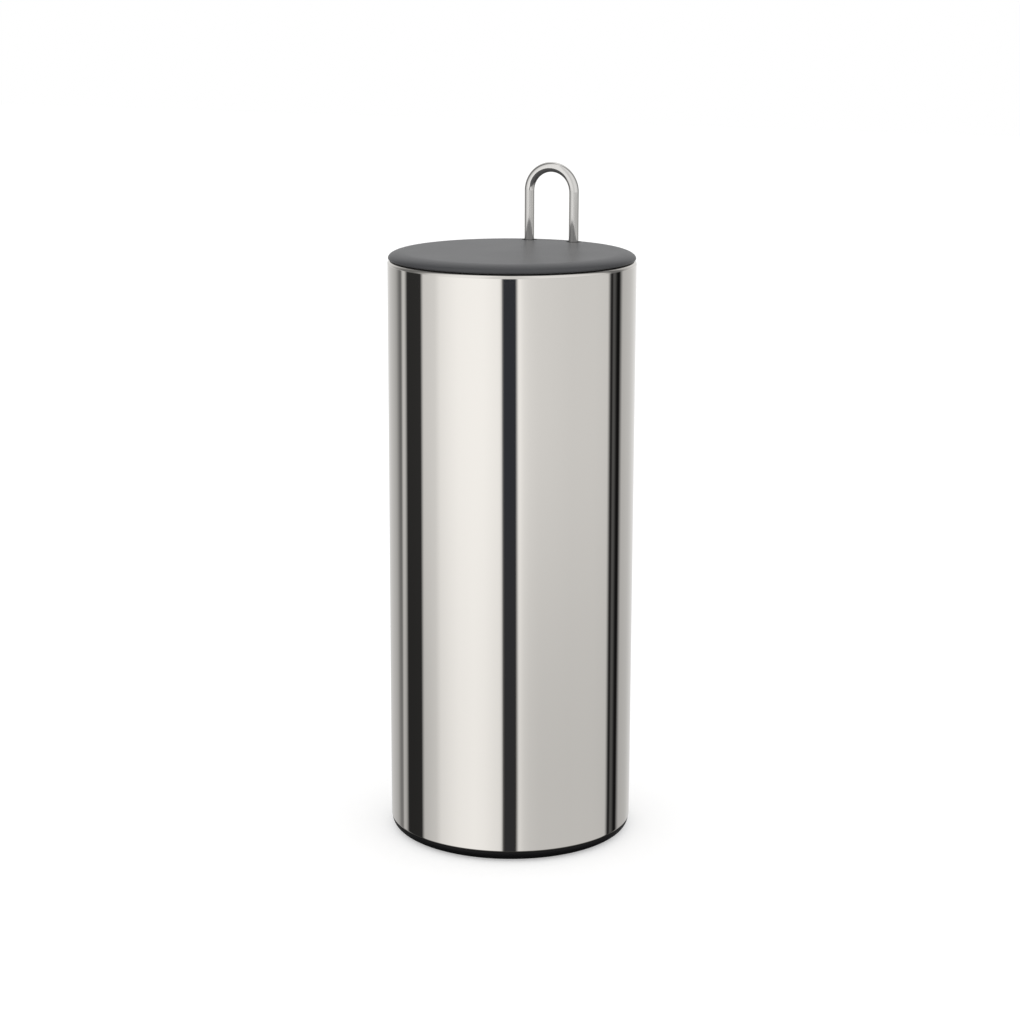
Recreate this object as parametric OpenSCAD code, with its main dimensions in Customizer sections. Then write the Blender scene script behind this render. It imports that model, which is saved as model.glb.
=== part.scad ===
// Storage canister for spare toilet rolls: a polished steel sleeve on a moulded base,
// and a lift-out carrier made of a platter, a looped handle rod and a lid.
// Millimetres, +Z up. The origin is on the floor at the middle of the base, and the handle is towards +Y.

/* [Sleeve] */
// Outside diameter of the steel sleeve
sleeve_d = 145; // [138:1:170]
// Height of the sleeve's rolled rim above the floor
rim_z = 344.5; // [240:0.5:460]
// Thickness of the sleeve's sheet
sheet_t = 0.6; // [0.5:0.1:0.9]
// Outside radius of the rolled rim
rim_roll_r = 2.2; // [1.8:0.1:2.6]
// Length of the lip that hangs down inside the rolled rim
rim_lip = 2; // [1:0.5:5]
// Width of the flange turned in at the sleeve's foot
hem_w = 3; // [2.4:0.2:3.6]
// Outside radius of the bend between the sleeve and that flange
hem_bend_r = 1.2; // [1:0.1:1.8]

/* [Base] */
// Height of the foot that shows below the sleeve
foot_h = 6; // [5:0.5:12]
// Step from the sleeve's outside in to the foot's top edge
foot_inset = 0.4; // [0.1:0.1:1]
// Radius of the rounding under the foot
foot_round_r = 5.6; // [3:0.2:6]
// Thickness of the base's floor and of its foot
base_wall = 2.2; // [1.6:0.2:2.8]
// Height of the collar above the base's floor
collar_h = 11; // [8:0.5:16]
// Thickness of the collar
collar_t = 1.8; // [1.4:0.1:2.4]
// Number of snap fingers cut in the collar
finger_count = 8; // [4:1:12]
// Angle that each snap finger takes
finger_angle = 15; // [8:1:20]
// Width of the slots beside each snap finger
finger_slot_w = 1.2; // [0.8:0.1:2]
// How far each snap finger's barb reaches over the sleeve's flange
barb_reach = 1.5; // [0.8:0.1:1.8]
// Height of each barb
barb_h = 3; // [2:0.5:5]
// Number of ribs under the floor
base_rib_count = 16; // [8:1:24]
// Thickness of the moulded ribs
rib_t = 1.4; // [1:0.1:2]
// Outside radius of the hub under the floor
base_hub_r = 11; // [8:0.5:16]
// Distance that the ribs stand back from the foot's lowest face
base_rib_inset = 0.6; // [0.2:0.1:2]

/* [Non-slip ring] */
// Distance from the foot's rounding in to the ring
grip_ring_inset = 6.5; // [3:0.5:12]
// Width of the ring
grip_ring_w = 6; // [4:0.5:8]
// Thickness of the ring
grip_ring_t = 2.4; // [2:0.1:3]
// How far the ring stands below the base
grip_ring_stand = 0.5; // [0.4:0.1:1.2]

/* [Handle rod] */
// Diameter of the rod
rod_d = 6; // [4:0.25:7]
// Distance between the two legs
leg_spacing = 29; // [24:0.5:40]
// Least gap between the fittings on a leg and the wall round them
leg_margin = 1.3; // [0.3:0.1:6]
// Height of the loop above the lid
loop_rise = 47; // [35:0.5:70]
// Diameter of the tapped hole in the end of each leg
tap_d = 3; // [2.5:0.1:3.2]
// Depth of that hole
tap_depth = 11; // [9:0.5:16]

/* [Lid] */
// Height of the lid's flat top above the sleeve's rim
lid_rise = 5; // [4:0.25:9]
// Gap between the lid's seat and the rim
lid_seat_gap = 0.3; // [0.3:0.05:0.6]
// Step from the sleeve's outside in to the lid's edge
lid_inset = 0.4; // [0:0.1:1.5]
// Width of the lid's rounded shoulder
shoulder_w = 10; // [6:0.5:14]
// Height of the upright edge below the shoulder
lid_land = 0.8; // [0.6:0.1:1.5]
// Size of the chamfer under that edge
lid_chamfer = 0.4; // [0.2:0.1:0.5]
// Thickness of the lid's shell
lid_wall = 2.2; // [1.6:0.1:2.6]
// Depth that the liner reaches below the rim
plug_depth = 8; // [8:0.5:12]
// Gap between the liner and the rim's lip
plug_gap = 0.7; // [0.4:0.1:1.2]
// Thickness of the liner's wall
liner_wall = 1.8; // [1.4:0.1:2.4]
// Thickness of the liner's floor
liner_floor = 2; // [1.6:0.1:2.4]
// Radius of the rounding round the liner's foot
liner_edge_r = 1.5; // [0.5:0.1:1.7]
// Number of screws that hold the liner to the lid
lid_screw_count = 4; // [3:1:6]
// Distance from the liner's edge in to the middle of each screw
lid_screw_inset = 21; // [16:0.5:30]
// Thickness of the bosses that those screws bite in
boss_wall = 2; // [1.4:0.1:2.6]
// Thickness of the cups that hold those screws' heads
cup_wall = 1.2; // [0.8:0.1:2]
// How deep each head lies in its cup
cup_recess = 1.4; // [0.4:0.1:1.6]
// Thickness that each head clamps
cup_roof = 1.8; // [1.2:0.1:2.2]
// Number of ribs under the lid
lid_rib_count = 12; // [6:1:12]
// Height of those ribs
lid_rib_h = 3; // [1.5:0.25:4]
// Outside radius of the hub that they meet at
lid_hub_r = 9; // [7:0.5:14]

/* [Leg bushes and clips] */
// Length of each bush
bush_l = 4; // [3:0.25:6]
// Thickness of each bush's barrel
bush_barrel_t = 0.8; // [0.6:0.1:1]
// Thickness of each bush's flange
bush_flange_t = 0.6; // [0.5:0.1:1.2]
// How far each bush's flange reaches past its barrel
bush_flange_w = 0.65; // [0.4:0.05:1]
// How far each bush lies below the lid's flat top
bush_sink = 0.2; // [0:0.05:0.4]
// Thickness of each spring clip
clip_t = 0.7; // [0.5:0.1:1]
// How far each spring clip stands out from its leg
clip_reach = 2; // [1.6:0.1:2.4]
// Depth of the groove that each spring clip sits in
clip_groove = 0.5; // [0.4:0.05:0.6]
// Width of the reliefs that leave each spring clip its prongs
clip_relief_w = 1.8; // [1:0.1:2.2]

/* [Platter] */
// Gap between the platter and what it passes on its way out
platter_gap = 1.2; // [0.6:0.1:2]
// Height from the platter's underside to the face that the rolls stand on
platter_h = 12; // [11:0.5:18]
// Thickness of the platter's skin and skirt
platter_wall = 2; // [1.6:0.1:2.6]
// Height of the rim around the platter's face
platter_rim_h = 2.5; // [1.5:0.25:4]
// Size of the chamfers on that rim and on the leg sockets
platter_chamfer = 0.6; // [0.3:0.1:0.9]
// Number of ribs under the platter
platter_rib_count = 12; // [6:1:16]
// Distance from the platter's underside up to its ribs
platter_rib_inset = 3; // [1:0.5:6]
// Outside radius of the hub under the platter
platter_hub_r = 12; // [9:0.5:16]
// Height of the leg sockets above the platter's face
socket_h = 14; // [8:0.5:24]
// Thickness of each leg socket's wall
socket_wall = 2.4; // [1.6:0.1:3]
// Thickness of the floor that each leg stands on
socket_floor = 2.5; // [2:0.25:3]
// How deep each leg screw's head lies below the platter
socket_recess = 1; // [0.4:0.1:2]

/* [Platter pads] */
// Number of soft pads under the platter
pad_count = 4; // [3:1:6]
// Diameter of each pad
pad_d = 10; // [8:0.5:12]
// How far each pad stands below the platter
pad_stand = 1.5; // [1:0.25:2.5]
// Depth of the recess that holds each pad
pad_recess = 1; // [0.6:0.1:1.4]
// Distance from the platter's edge in to the middle of each pad
pad_inset = 16; // [12:0.5:24]

/* [Screws] */
// Diameter of the thread of the screws
screw_d = 2.9; // [2.2:0.1:2.9]
// Diameter of the heads
screw_head_d = 5.4; // [5:0.1:5.8]
// Height of the heads
screw_head_h = 1.8; // [1.4:0.1:2.2]
// Length of the lid's screws under the head
lid_screw_l = 7; // [6:0.5:7.5]
// Length of the legs' screws under the head
leg_screw_l = 11; // [9:0.5:12]
// Width across the flats of the hexagon recess in the heads
drive_w = 2.5; // [2:0.1:3]

/* [Fits] */
// Gap around a piece that slides or turns in another
slide_gap = 0.2; // [0.15:0.05:0.4]
// Gap around a piece that is held in another
seat_gap = 0.05; // [0.03:0.01:0.1]

/* [Hidden] */
$fn = 96;
arc_steps = 12;
overlap = 0.01;
through = 1;
pilot_room = 0.6;

// sleeve
sleeve_r = sleeve_d / 2;
sleeve_inner_r = sleeve_r - sheet_t;
mouth_r = sleeve_r - 2 * rim_roll_r;
hem_inner_r = sleeve_r - hem_w;

// base
base_z = grip_ring_stand;
floor_under_z = foot_h - base_wall;
foot_r = sleeve_r - foot_inset;
collar_r = hem_inner_r - slide_gap;
collar_inner_r = collar_r - collar_t;
barb_z = foot_h + sheet_t + seat_gap;
foot_bend_r = min(foot_round_r, foot_h - base_z - overlap);
foot_flat_r = foot_r - foot_bend_r;
grip_outer_r = foot_flat_r - grip_ring_inset;
grip_inner_r = grip_outer_r - grip_ring_w;
channel_z = base_z + base_rib_inset;
channel_h = floor_under_z - channel_z + overlap;

// lid
lid_r = sleeve_r - lid_inset;
lid_top_z = rim_z + lid_rise;
lid_seat_z = rim_z + lid_seat_gap;
lid_under_z = lid_top_z - lid_wall;
shoulder_h = lid_rise - lid_seat_gap - lid_land;
plug_r = mouth_r - plug_gap;
liner_under_z = rim_z - plug_depth;
liner_face_z = liner_under_z + liner_floor;
liner_inner_r = plug_r - liner_wall;
lid_screw_r = plug_r - lid_screw_inset;
pilot_d = screw_d + 2 * seat_gap;
screw_hole_d = screw_d + 2 * slide_gap;
head_hole_d = screw_head_d + 2 * slide_gap;
boss_d = pilot_d + 2 * boss_wall;
cup_d = head_hole_d + 2 * cup_wall;
cup_seat_z = liner_under_z + screw_head_h + cup_recess;
cup_top_z = cup_seat_z + cup_roof;
pilot_top_z = cup_seat_z + lid_screw_l + pilot_room;

// rod
rod_r = rod_d / 2;
leg_x = leg_spacing / 2;
loop_z = lid_top_z + loop_rise - rod_r - leg_x;
leg_hole_d = rod_d + 2 * slide_gap;
clip_d = rod_d + 2 * clip_reach;
clip_z = liner_face_z + seat_gap;
clip_top_z = clip_z + clip_t + seat_gap;
bush_hole_d = rod_d + 2 * seat_gap;
bush_barrel_d = bush_hole_d + 2 * bush_barrel_t;
bush_d = bush_barrel_d + 2 * bush_flange_w;
bush_top_z = lid_top_z - bush_sink;
bush_z = bush_top_z - bush_l;

// platter
platter_r = min(collar_inner_r, mouth_r) - platter_gap;
platter_under_z = foot_h + pad_stand;
platter_face_z = platter_under_z + platter_h;
platter_skin_z = platter_face_z - platter_wall;
socket_top_z = platter_face_z + socket_h;
socket_floor_z = platter_under_z + screw_head_h + socket_recess;
leg_end_z = socket_floor_z + socket_floor;
socket_hole_d = rod_d + 2 * seat_gap;
socket_d = socket_hole_d + 2 * socket_wall;
pad_top_z = platter_under_z + pad_recess;
pad_circle_r = platter_r - pad_inset;
platter_rib_z = platter_under_z + platter_rib_inset;

// the legs stand as far out as the platter and the lid's liner let them
leg_circle_r = min(platter_r - socket_d / 2, liner_inner_r - clip_d / 2) - leg_margin;
leg_y = sqrt(leg_circle_r ^ 2 - leg_x ^ 2);

// Points of a quarter ellipse about [x, z], from its widest point up to its top (or down, with h below zero).
function quarter_ellipse(x, z, w, h) =
    [for (i = [0 : arc_steps]) let (a = 90 * i / arc_steps) [x + w * cos(a), z + h * sin(a)]];

// Copies the children around the Z axis.
module around(count, start = 0) {
    for (i = [0 : count - 1])
        rotate([0, 0, start + i * 360 / count])
            children();
}

// Copies the children to the two legs.
module at_legs() {
    for (side = [-1, 1])
        translate([side * leg_x, leg_y, 0])
            children();
}

// A tube that stands on z.
module tube(outer_r, inner_r, z, h) {
    translate([0, 0, z])
        difference() {
            cylinder(r = outer_r, h = h);
            translate([0, 0, -through])
                cylinder(r = inner_r, h = h + 2 * through);
        }
}

// A hub on the middle and ribs that run out from it.
module hub_and_ribs(count, hub_r, to_r, z, h) {
    tube(hub_r, hub_r - rib_t, z, h);
    around(count)
        translate([hub_r - rib_t / 2, -rib_t / 2, z])
            cube([to_r - hub_r + rib_t / 2, rib_t, h]);
}

// A quarter of a flat ring, in the corner that right and up give.
module quarter_ring(outer_r, t, right, up) {
    intersection() {
        difference() {
            circle(r = outer_r);
            circle(r = outer_r - t);
        }
        translate([right ? 0 : -outer_r, up ? 0 : -outer_r])
            square(outer_r);
    }
}

// A pan head screw that points up, with the underside of its head on z = 0.
module screw(length) {
    difference() {
        translate([0, 0, -screw_head_h])
            cylinder(d = screw_head_d, h = screw_head_h);
        translate([0, 0, -screw_head_h - overlap])
            cylinder(d = drive_w / cos(30), h = screw_head_h * 0.6, $fn = 6);
    }
    cylinder(d = screw_d, h = length);
}

// The sleeve's sheet in section: the turned-in flange, the wall and the rolled rim.
module sleeve_section() {
    roll_x = sleeve_r - rim_roll_r;
    roll_z = rim_z - rim_roll_r;
    translate([hem_inner_r, foot_h])
        square([hem_w - hem_bend_r, sheet_t]);
    translate([sleeve_r - hem_bend_r, foot_h + hem_bend_r])
        quarter_ring(hem_bend_r, sheet_t, true, false);
    translate([sleeve_inner_r, foot_h + hem_bend_r])
        square([sheet_t, roll_z - foot_h - hem_bend_r]);
    translate([roll_x, roll_z]) {
        quarter_ring(rim_roll_r, sheet_t, true, true);
        quarter_ring(rim_roll_r, sheet_t, false, true);
    }
    translate([mouth_r, roll_z - rim_lip])
        square([sheet_t, rim_lip]);
}

module steel_sleeve() {
    color("silver")
        rotate_extrude()
            sleeve_section();
}

// The base's shell in section: a floor that ends in a foot, which is rounded under.
module base_section() {
    round_z = base_z + foot_bend_r;
    inner_bend_r = foot_bend_r - base_wall;
    difference() {
        polygon(concat([[0, foot_h], [foot_r, foot_h]],
            quarter_ellipse(foot_flat_r, round_z, foot_bend_r, -foot_bend_r), [[0, base_z]]));
        intersection() {
            polygon(concat([[0, foot_h], [foot_r - base_wall, foot_h]],
                quarter_ellipse(foot_flat_r, round_z, inner_bend_r, -inner_bend_r),
                [[foot_flat_r, base_z - through], [0, base_z - through]]));
            translate([0, base_z - through])
                square([foot_r, floor_under_z - base_z + through]);
        }
    }
}

// One snap finger's barb, which reaches out over the sleeve's flange.
module barb() {
    rotate([0, 0, -finger_angle / 2])
        rotate_extrude(angle = finger_angle)
            polygon([[collar_r - collar_t / 2, barb_z], [collar_r + barb_reach, barb_z],
                [collar_r + barb_reach, barb_z + barb_h / 4], [collar_r - collar_t / 2, barb_z + barb_h]]);
}

// The collar that centres the sleeve, with its snap fingers.
module base_collar() {
    slot_a = asin(finger_slot_w / collar_r) / 2 + finger_angle / 2;
    difference() {
        tube(collar_r, collar_inner_r, foot_h - overlap, collar_h + overlap);
        around(finger_count)
            for (side = [-1, 1])
                rotate([0, 0, side * slot_a])
                    translate([collar_inner_r - through, -finger_slot_w / 2, foot_h + sheet_t])
                        cube([collar_t + 2 * through, finger_slot_w, collar_h]);
    }
    around(finger_count)
        barb();
}

module base_moulding() {
    color("#1d1d1f") {
        rotate_extrude()
            base_section();
        base_collar();
        // the channel that holds the non-slip ring
        difference() {
            tube(grip_outer_r + rib_t, grip_inner_r - rib_t, channel_z, channel_h);
            tube(grip_outer_r + seat_gap, grip_inner_r - seat_gap, channel_z - through,
                grip_ring_t - channel_z + through);
        }
        hub_and_ribs(base_rib_count, base_hub_r, grip_inner_r - rib_t / 2, channel_z, channel_h);
    }
}

module non_slip_ring() {
    color("#2b2b2d")
        tube(grip_outer_r, grip_inner_r, 0, grip_ring_t);
}

// The U-shaped rod: a half-round loop over two straight legs, grooved for the clips and tapped at its ends.
module handle_rod() {
    color("#c9c9c6")
        difference() {
            union() {
                translate([0, leg_y, loop_z])
                    rotate([90, 0, 0])
                        rotate_extrude(angle = 180)
                            translate([leg_x, 0])
                                circle(r = rod_r);
                at_legs()
                    translate([0, 0, leg_end_z])
                        cylinder(r = rod_r, h = loop_z - leg_end_z);
            }
            at_legs() {
                tube(rod_r + through, rod_r - clip_groove, clip_z - seat_gap, clip_top_z - clip_z + seat_gap);
                translate([0, 0, leg_end_z - through])
                    cylinder(d = tap_d, h = tap_depth + through);
            }
        }
}

// The lid's shell in section: a flat top with a wide soft shoulder, and the seat that lies over the rim.
module lid_section() {
    shoulder = quarter_ellipse(lid_r - shoulder_w, lid_seat_z + lid_land, shoulder_w, shoulder_h);
    difference() {
        polygon(concat([[0, lid_seat_z], [lid_r - lid_chamfer, lid_seat_z]],
            [[lid_r, lid_seat_z + lid_chamfer]], shoulder, [[0, lid_top_z]]));
        translate([0, lid_seat_z - through])
            square([plug_r + seat_gap, lid_under_z - lid_seat_z + through]);
    }
}

module lid_cover() {
    color("#4a4b4d")
        difference() {
            union() {
                rotate_extrude()
                    lid_section();
                around(lid_screw_count, 45)
                    translate([lid_screw_r, 0, cup_top_z])
                        cylinder(d = boss_d, h = lid_under_z - cup_top_z + overlap);
                at_legs()
                    translate([0, 0, clip_top_z])
                        cylinder(d = clip_d, h = lid_under_z - clip_top_z + overlap);
                hub_and_ribs(lid_rib_count, lid_hub_r, lid_screw_r,
                    lid_under_z - lid_rib_h, lid_rib_h + overlap);
            }
            around(lid_screw_count, 45)
                translate([lid_screw_r, 0, cup_top_z - through])
                    cylinder(d = pilot_d, h = pilot_top_z - cup_top_z + through);
            at_legs() {
                cylinder(d = leg_hole_d, h = lid_top_z + through);
                translate([0, 0, bush_z - seat_gap])
                    cylinder(d = bush_barrel_d + 2 * seat_gap, h = bush_l);
                translate([0, 0, bush_top_z - bush_flange_t - seat_gap])
                    cylinder(d = bush_d + 2 * seat_gap, h = lid_wall);
            }
        }
}

// The liner's pan in section: a floor and an upright wall, rounded at the foot.
module liner_section() {
    top_z = lid_under_z - seat_gap;
    edge = quarter_ellipse(plug_r - liner_edge_r, liner_under_z + liner_edge_r, liner_edge_r, -liner_edge_r);
    polygon(concat([[0, liner_face_z], [liner_inner_r, liner_face_z]],
        [[liner_inner_r, top_z], [plug_r, top_z]], edge, [[0, liner_under_z]]));
}

// The lid's liner: a shallow pan that plugs the mouth, with a cup for each screw's head.
module lid_liner() {
    color("#343537")
        difference() {
            union() {
                rotate_extrude()
                    liner_section();
                around(lid_screw_count, 45)
                    translate([lid_screw_r, 0, liner_under_z])
                        cylinder(d = cup_d, h = cup_top_z - liner_under_z - seat_gap);
            }
            around(lid_screw_count, 45)
                translate([lid_screw_r, 0, liner_under_z - through]) {
                    cylinder(d = head_hole_d, h = cup_seat_z - liner_under_z + through);
                    cylinder(d = screw_hole_d, h = cup_top_z - liner_under_z + 2 * through);
                }
            at_legs()
                translate([0, 0, liner_under_z - through])
                    cylinder(d = leg_hole_d, h = liner_floor + 2 * through);
        }
}

module lid_screws() {
    color("#b9b9b6")
        around(lid_screw_count, 45)
            translate([lid_screw_r, 0, cup_seat_z])
                screw(lid_screw_l);
}

// Soft bushes that line the lid's leg holes: a flange in the lid's top and a barrel below it.
module leg_bushes() {
    color("#232325")
        at_legs()
            difference() {
                union() {
                    translate([0, 0, bush_z])
                        cylinder(d = bush_barrel_d, h = bush_l);
                    translate([0, 0, bush_top_z - bush_flange_t])
                        cylinder(d = bush_d, h = bush_flange_t);
                }
                translate([0, 0, bush_z - through])
                    cylinder(d = bush_hole_d, h = bush_l + 2 * through);
            }
}

// A spring clip, open towards -Y, with two reliefs that leave it three prongs.
module spring_clip() {
    grip_d = rod_d - 2 * clip_groove + 2 * seat_gap;
    mouth_w = 0.9 * grip_d;
    relief_d = (clip_d + grip_d) / 2;
    linear_extrude(clip_t)
        difference() {
            circle(d = clip_d);
            circle(d = grip_d);
            translate([-mouth_w / 2, -clip_d])
                square([mouth_w, clip_d]);
            for (a = [35, 145])
                rotate(a)
                    intersection() {
                        circle(d = relief_d);
                        translate([0, -clip_relief_w / 2])
                            square([relief_d, clip_relief_w]);
                    }
        }
}

module leg_clips() {
    color("#8e8f90")
        at_legs()
            translate([0, 0, clip_z])
                spring_clip();
}

// The platter's shell in section: a skirt, the face that the rolls stand on, and a low rim round it.
module platter_section() {
    inner_r = platter_r - platter_wall;
    rim_top_z = platter_face_z + platter_rim_h;
    difference() {
        polygon([[0, platter_under_z], [platter_r, platter_under_z], [platter_r, rim_top_z - platter_chamfer],
            [platter_r - platter_chamfer, rim_top_z], [inner_r + platter_chamfer, rim_top_z],
            [inner_r, rim_top_z - platter_chamfer], [inner_r, platter_face_z], [0, platter_face_z]]);
        translate([0, platter_under_z - through])
            square([inner_r, platter_skin_z - platter_under_z + through]);
    }
}

// One leg's socket, with a chamfered top.
module leg_socket() {
    straight_h = socket_top_z - platter_chamfer - platter_under_z;
    translate([0, 0, platter_under_z])
        cylinder(d = socket_d, h = straight_h);
    translate([0, 0, platter_under_z + straight_h])
        cylinder(d1 = socket_d, d2 = socket_d - 2 * platter_chamfer, h = platter_chamfer);
}

module platter() {
    color("#343537")
        difference() {
            union() {
                rotate_extrude()
                    platter_section();
                hub_and_ribs(platter_rib_count, platter_hub_r, platter_r - platter_wall / 2, platter_rib_z,
                    platter_skin_z - platter_rib_z + overlap);
                around(pad_count, 45)
                    translate([pad_circle_r, 0, platter_under_z])
                        cylinder(d = pad_d + 2 * rib_t, h = platter_skin_z - platter_under_z + overlap);
                at_legs()
                    leg_socket();
            }
            around(pad_count, 45)
                translate([pad_circle_r, 0, platter_under_z - through])
                    cylinder(d = pad_d + 2 * seat_gap, h = pad_recess + through);
            at_legs() {
                translate([0, 0, leg_end_z])
                    cylinder(d = socket_hole_d, h = socket_top_z - leg_end_z + through);
                translate([0, 0, platter_under_z - through])
                    cylinder(d = head_hole_d, h = socket_floor_z - platter_under_z + through);
                translate([0, 0, platter_under_z])
                    cylinder(d = screw_hole_d, h = leg_end_z - platter_under_z + through);
            }
        }
}

module platter_pads() {
    color("#2b2b2d")
        around(pad_count, 45)
            translate([pad_circle_r, 0, foot_h])
                cylinder(d = pad_d, h = pad_top_z - foot_h);
}

module leg_screws() {
    color("#b9b9b6")
        at_legs()
            translate([0, 0, socket_floor_z])
                screw(leg_screw_l);
}

steel_sleeve();
base_moulding();
non_slip_ring();
handle_rod();
lid_cover();
lid_liner();
lid_screws();
leg_bushes();
leg_clips();
platter();
platter_pads();
leg_screws();
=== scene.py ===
"""Looks of a polished steel canister for spare toilet rolls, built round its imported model.

Everything is in metres, with +Z up, the origin on the floor at the middle of the base and the handle
towards +Y.
"""

from __future__ import annotations

import logging
import math
from dataclasses import dataclass
from enum import Enum
from typing import Any, ClassVar, Mapping, Sequence

import bmesh
import bpy
import numpy as np
from mathutils import Matrix, Vector

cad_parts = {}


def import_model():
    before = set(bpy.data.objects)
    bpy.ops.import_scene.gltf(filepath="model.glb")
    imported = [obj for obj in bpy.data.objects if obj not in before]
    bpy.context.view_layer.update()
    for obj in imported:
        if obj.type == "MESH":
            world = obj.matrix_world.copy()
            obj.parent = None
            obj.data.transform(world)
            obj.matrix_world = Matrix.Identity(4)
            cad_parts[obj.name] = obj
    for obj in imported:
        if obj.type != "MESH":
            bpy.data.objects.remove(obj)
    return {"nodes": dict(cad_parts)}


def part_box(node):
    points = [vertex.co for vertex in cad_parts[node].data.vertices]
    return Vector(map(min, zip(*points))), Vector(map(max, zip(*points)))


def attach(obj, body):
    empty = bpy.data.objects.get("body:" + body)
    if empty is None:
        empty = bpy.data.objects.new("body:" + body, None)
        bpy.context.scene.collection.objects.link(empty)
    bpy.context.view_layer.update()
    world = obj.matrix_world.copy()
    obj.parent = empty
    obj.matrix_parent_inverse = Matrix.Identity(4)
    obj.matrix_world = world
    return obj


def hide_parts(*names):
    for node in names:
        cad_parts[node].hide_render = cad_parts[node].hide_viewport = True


LOG = logging.getLogger("canister")
MM = 0.001
FULL_TURN = 2 * math.pi
# Points that are closer to each other than this are one point.
SAME_POINT = 1e-7
# How far a solid that cuts a hole reaches past what it cuts.
OVERCUT = 1.0 * MM
# The angles in degrees from which an edge stays sharp, on most pieces and on the screws.
SHARP_FROM = 40.0
SCREW_SHARP_FROM = 50.0


class Body(Enum):
    """The bodies that pieces ride on."""

    CANISTER = "canister"
    CARRIER = "carrier"


class Slot(Enum):
    """The record's material slots."""

    POLISHED_STEEL = "polished_steel"
    ROD_STEEL = "rod_steel"
    FASTENER_STEEL = "fastener_steel"
    LID_PLASTIC = "lid_plastic"
    INNER_PLASTIC = "inner_plastic"
    BASE_PLASTIC = "base_plastic"
    SOFT_RUBBER = "soft_rubber"


# Surfaces


@dataclass
class Surface:
    """Points and faces that are ready to go into a mesh.

    Attributes:
        points: one row of x, y, z for each point.
        faces: one row of four point numbers for each face; a triangle repeats its last one.
    """

    points: np.ndarray
    faces: np.ndarray

    def joined(self, *others: "Surface") -> "Surface":
        """Returns this surface and the others as one."""
        points, faces, start = [], [], 0
        for part in (self, *others):
            points.append(part.points)
            faces.append(part.faces + start)
            start += len(part.points)
        return Surface(np.concatenate(points), np.concatenate(faces))

    def moved(self, x: float = 0.0, y: float = 0.0, z: float = 0.0) -> "Surface":
        """Returns the surface shifted by x, y and z."""
        return Surface(self.points + np.array([x, y, z]), self.faces)

    def turned(self, angle: float) -> "Surface":
        """Returns the surface turned about the Z axis by an angle in radians."""
        c, s = math.cos(angle), math.sin(angle)
        return Surface(self.points @ np.array([[c, s, 0.0], [-s, c, 0.0], [0.0, 0.0, 1.0]]), self.faces)

    def around(self, count: int, start: float = 0.0) -> "Surface":
        """Returns count copies, spread evenly round the Z axis from an angle in degrees."""
        first, *rest = (self.turned(math.radians(start) + k * FULL_TURN / count) for k in range(count))
        return first.joined(*rest)


def grid_faces(rows: int, columns: int, wrap_rows: bool, wrap_columns: bool) -> np.ndarray:
    """Numbers the quads of a grid of points.

    Point (i, j) has the number i * columns + j, and a quad joins (i, j), (i, j + 1), (i + 1, j + 1) and
    (i + 1, j).

    Args:
        rows: how many rows of points there are.
        columns: how many points a row has.
        wrap_rows: whether the last row joins the first.
        wrap_columns: whether the last column joins the first.

    Returns:
        One row of four point numbers for each quad.
    """
    i = np.arange(rows if wrap_rows else rows - 1)[:, None]
    j = np.arange(columns if wrap_columns else columns - 1)[None, :]
    i_next, j_next = (i + 1) % rows, (j + 1) % columns
    corners = [i * columns + j, i * columns + j_next, i_next * columns + j_next, i_next * columns + j]
    return np.stack([np.broadcast_to(c, (i.size, j.size)) for c in corners], axis=-1).reshape(-1, 4)


def arc(
    centre: Sequence[float], radii: float | Sequence[float], start: float, end: float, steps: int
) -> np.ndarray:
    """Points along a stretch of an ellipse: centre + (a cos t, b sin t), with t from start to end.

    Args:
        centre: the ellipse's middle, as (r, z).
        radii: its half axes a and b, or a circle's one radius.
        start: the first angle, in degrees.
        end: the last angle, in degrees.
        steps: how many stretches the arc is cut into.

    Returns:
        One row of r, z for each point.
    """
    a, b = np.broadcast_to(radii, 2)
    t = np.radians(np.linspace(start, end, steps + 1))
    return np.stack([centre[0] + a * np.cos(t), centre[1] + b * np.sin(t)], axis=1)


def outline(*stretches: Any) -> np.ndarray:
    """Joins points and arrays of points into one outline, and drops a point that repeats the one before."""
    points = np.concatenate([np.atleast_2d(np.asarray(s, float)) for s in stretches])
    step = np.linalg.norm(points - np.roll(points, 1, axis=0), axis=1)
    return points[step > SAME_POINT]


def rounded(corners: Sequence[Sequence[float]], radii: Sequence[float], steps: int = 5) -> np.ndarray:
    """Rounds the corners of a closed outline.

    Each corner gives way to an arc that touches both of its sides, at radius / tan(half the corner's angle)
    from it.

    Args:
        corners: the outline's corners, as (r, z).
        radii: one radius for each corner, where 0 leaves it sharp.
        steps: how many stretches each arc is cut into.

    Returns:
        One row of r, z for each point.
    """
    count = len(corners)
    pieces = []
    for k, radius in enumerate(radii):
        here = np.array(corners[k], float)
        if radius == 0:
            pieces.append(here[None, :])
            continue
        back = np.array(corners[k - 1], float) - here
        ahead = np.array(corners[(k + 1) % count], float) - here
        back /= np.linalg.norm(back)
        ahead /= np.linalg.norm(ahead)
        half = math.acos(float(np.clip(back @ ahead, -1, 1))) / 2
        inward = (back + ahead) / np.linalg.norm(back + ahead)
        centre = here + inward * radius / math.sin(half)
        first = here + back * radius / math.tan(half) - centre
        last = here + ahead * radius / math.tan(half) - centre
        t = np.linspace(0, 1, steps + 1)[:, None]
        turn = math.acos(float(np.clip(first @ last / radius**2, -1, 1)))
        pieces.append(centre + (np.sin((1 - t) * turn) * first + np.sin(t * turn) * last) / math.sin(turn))
    return outline(*pieces)


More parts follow.
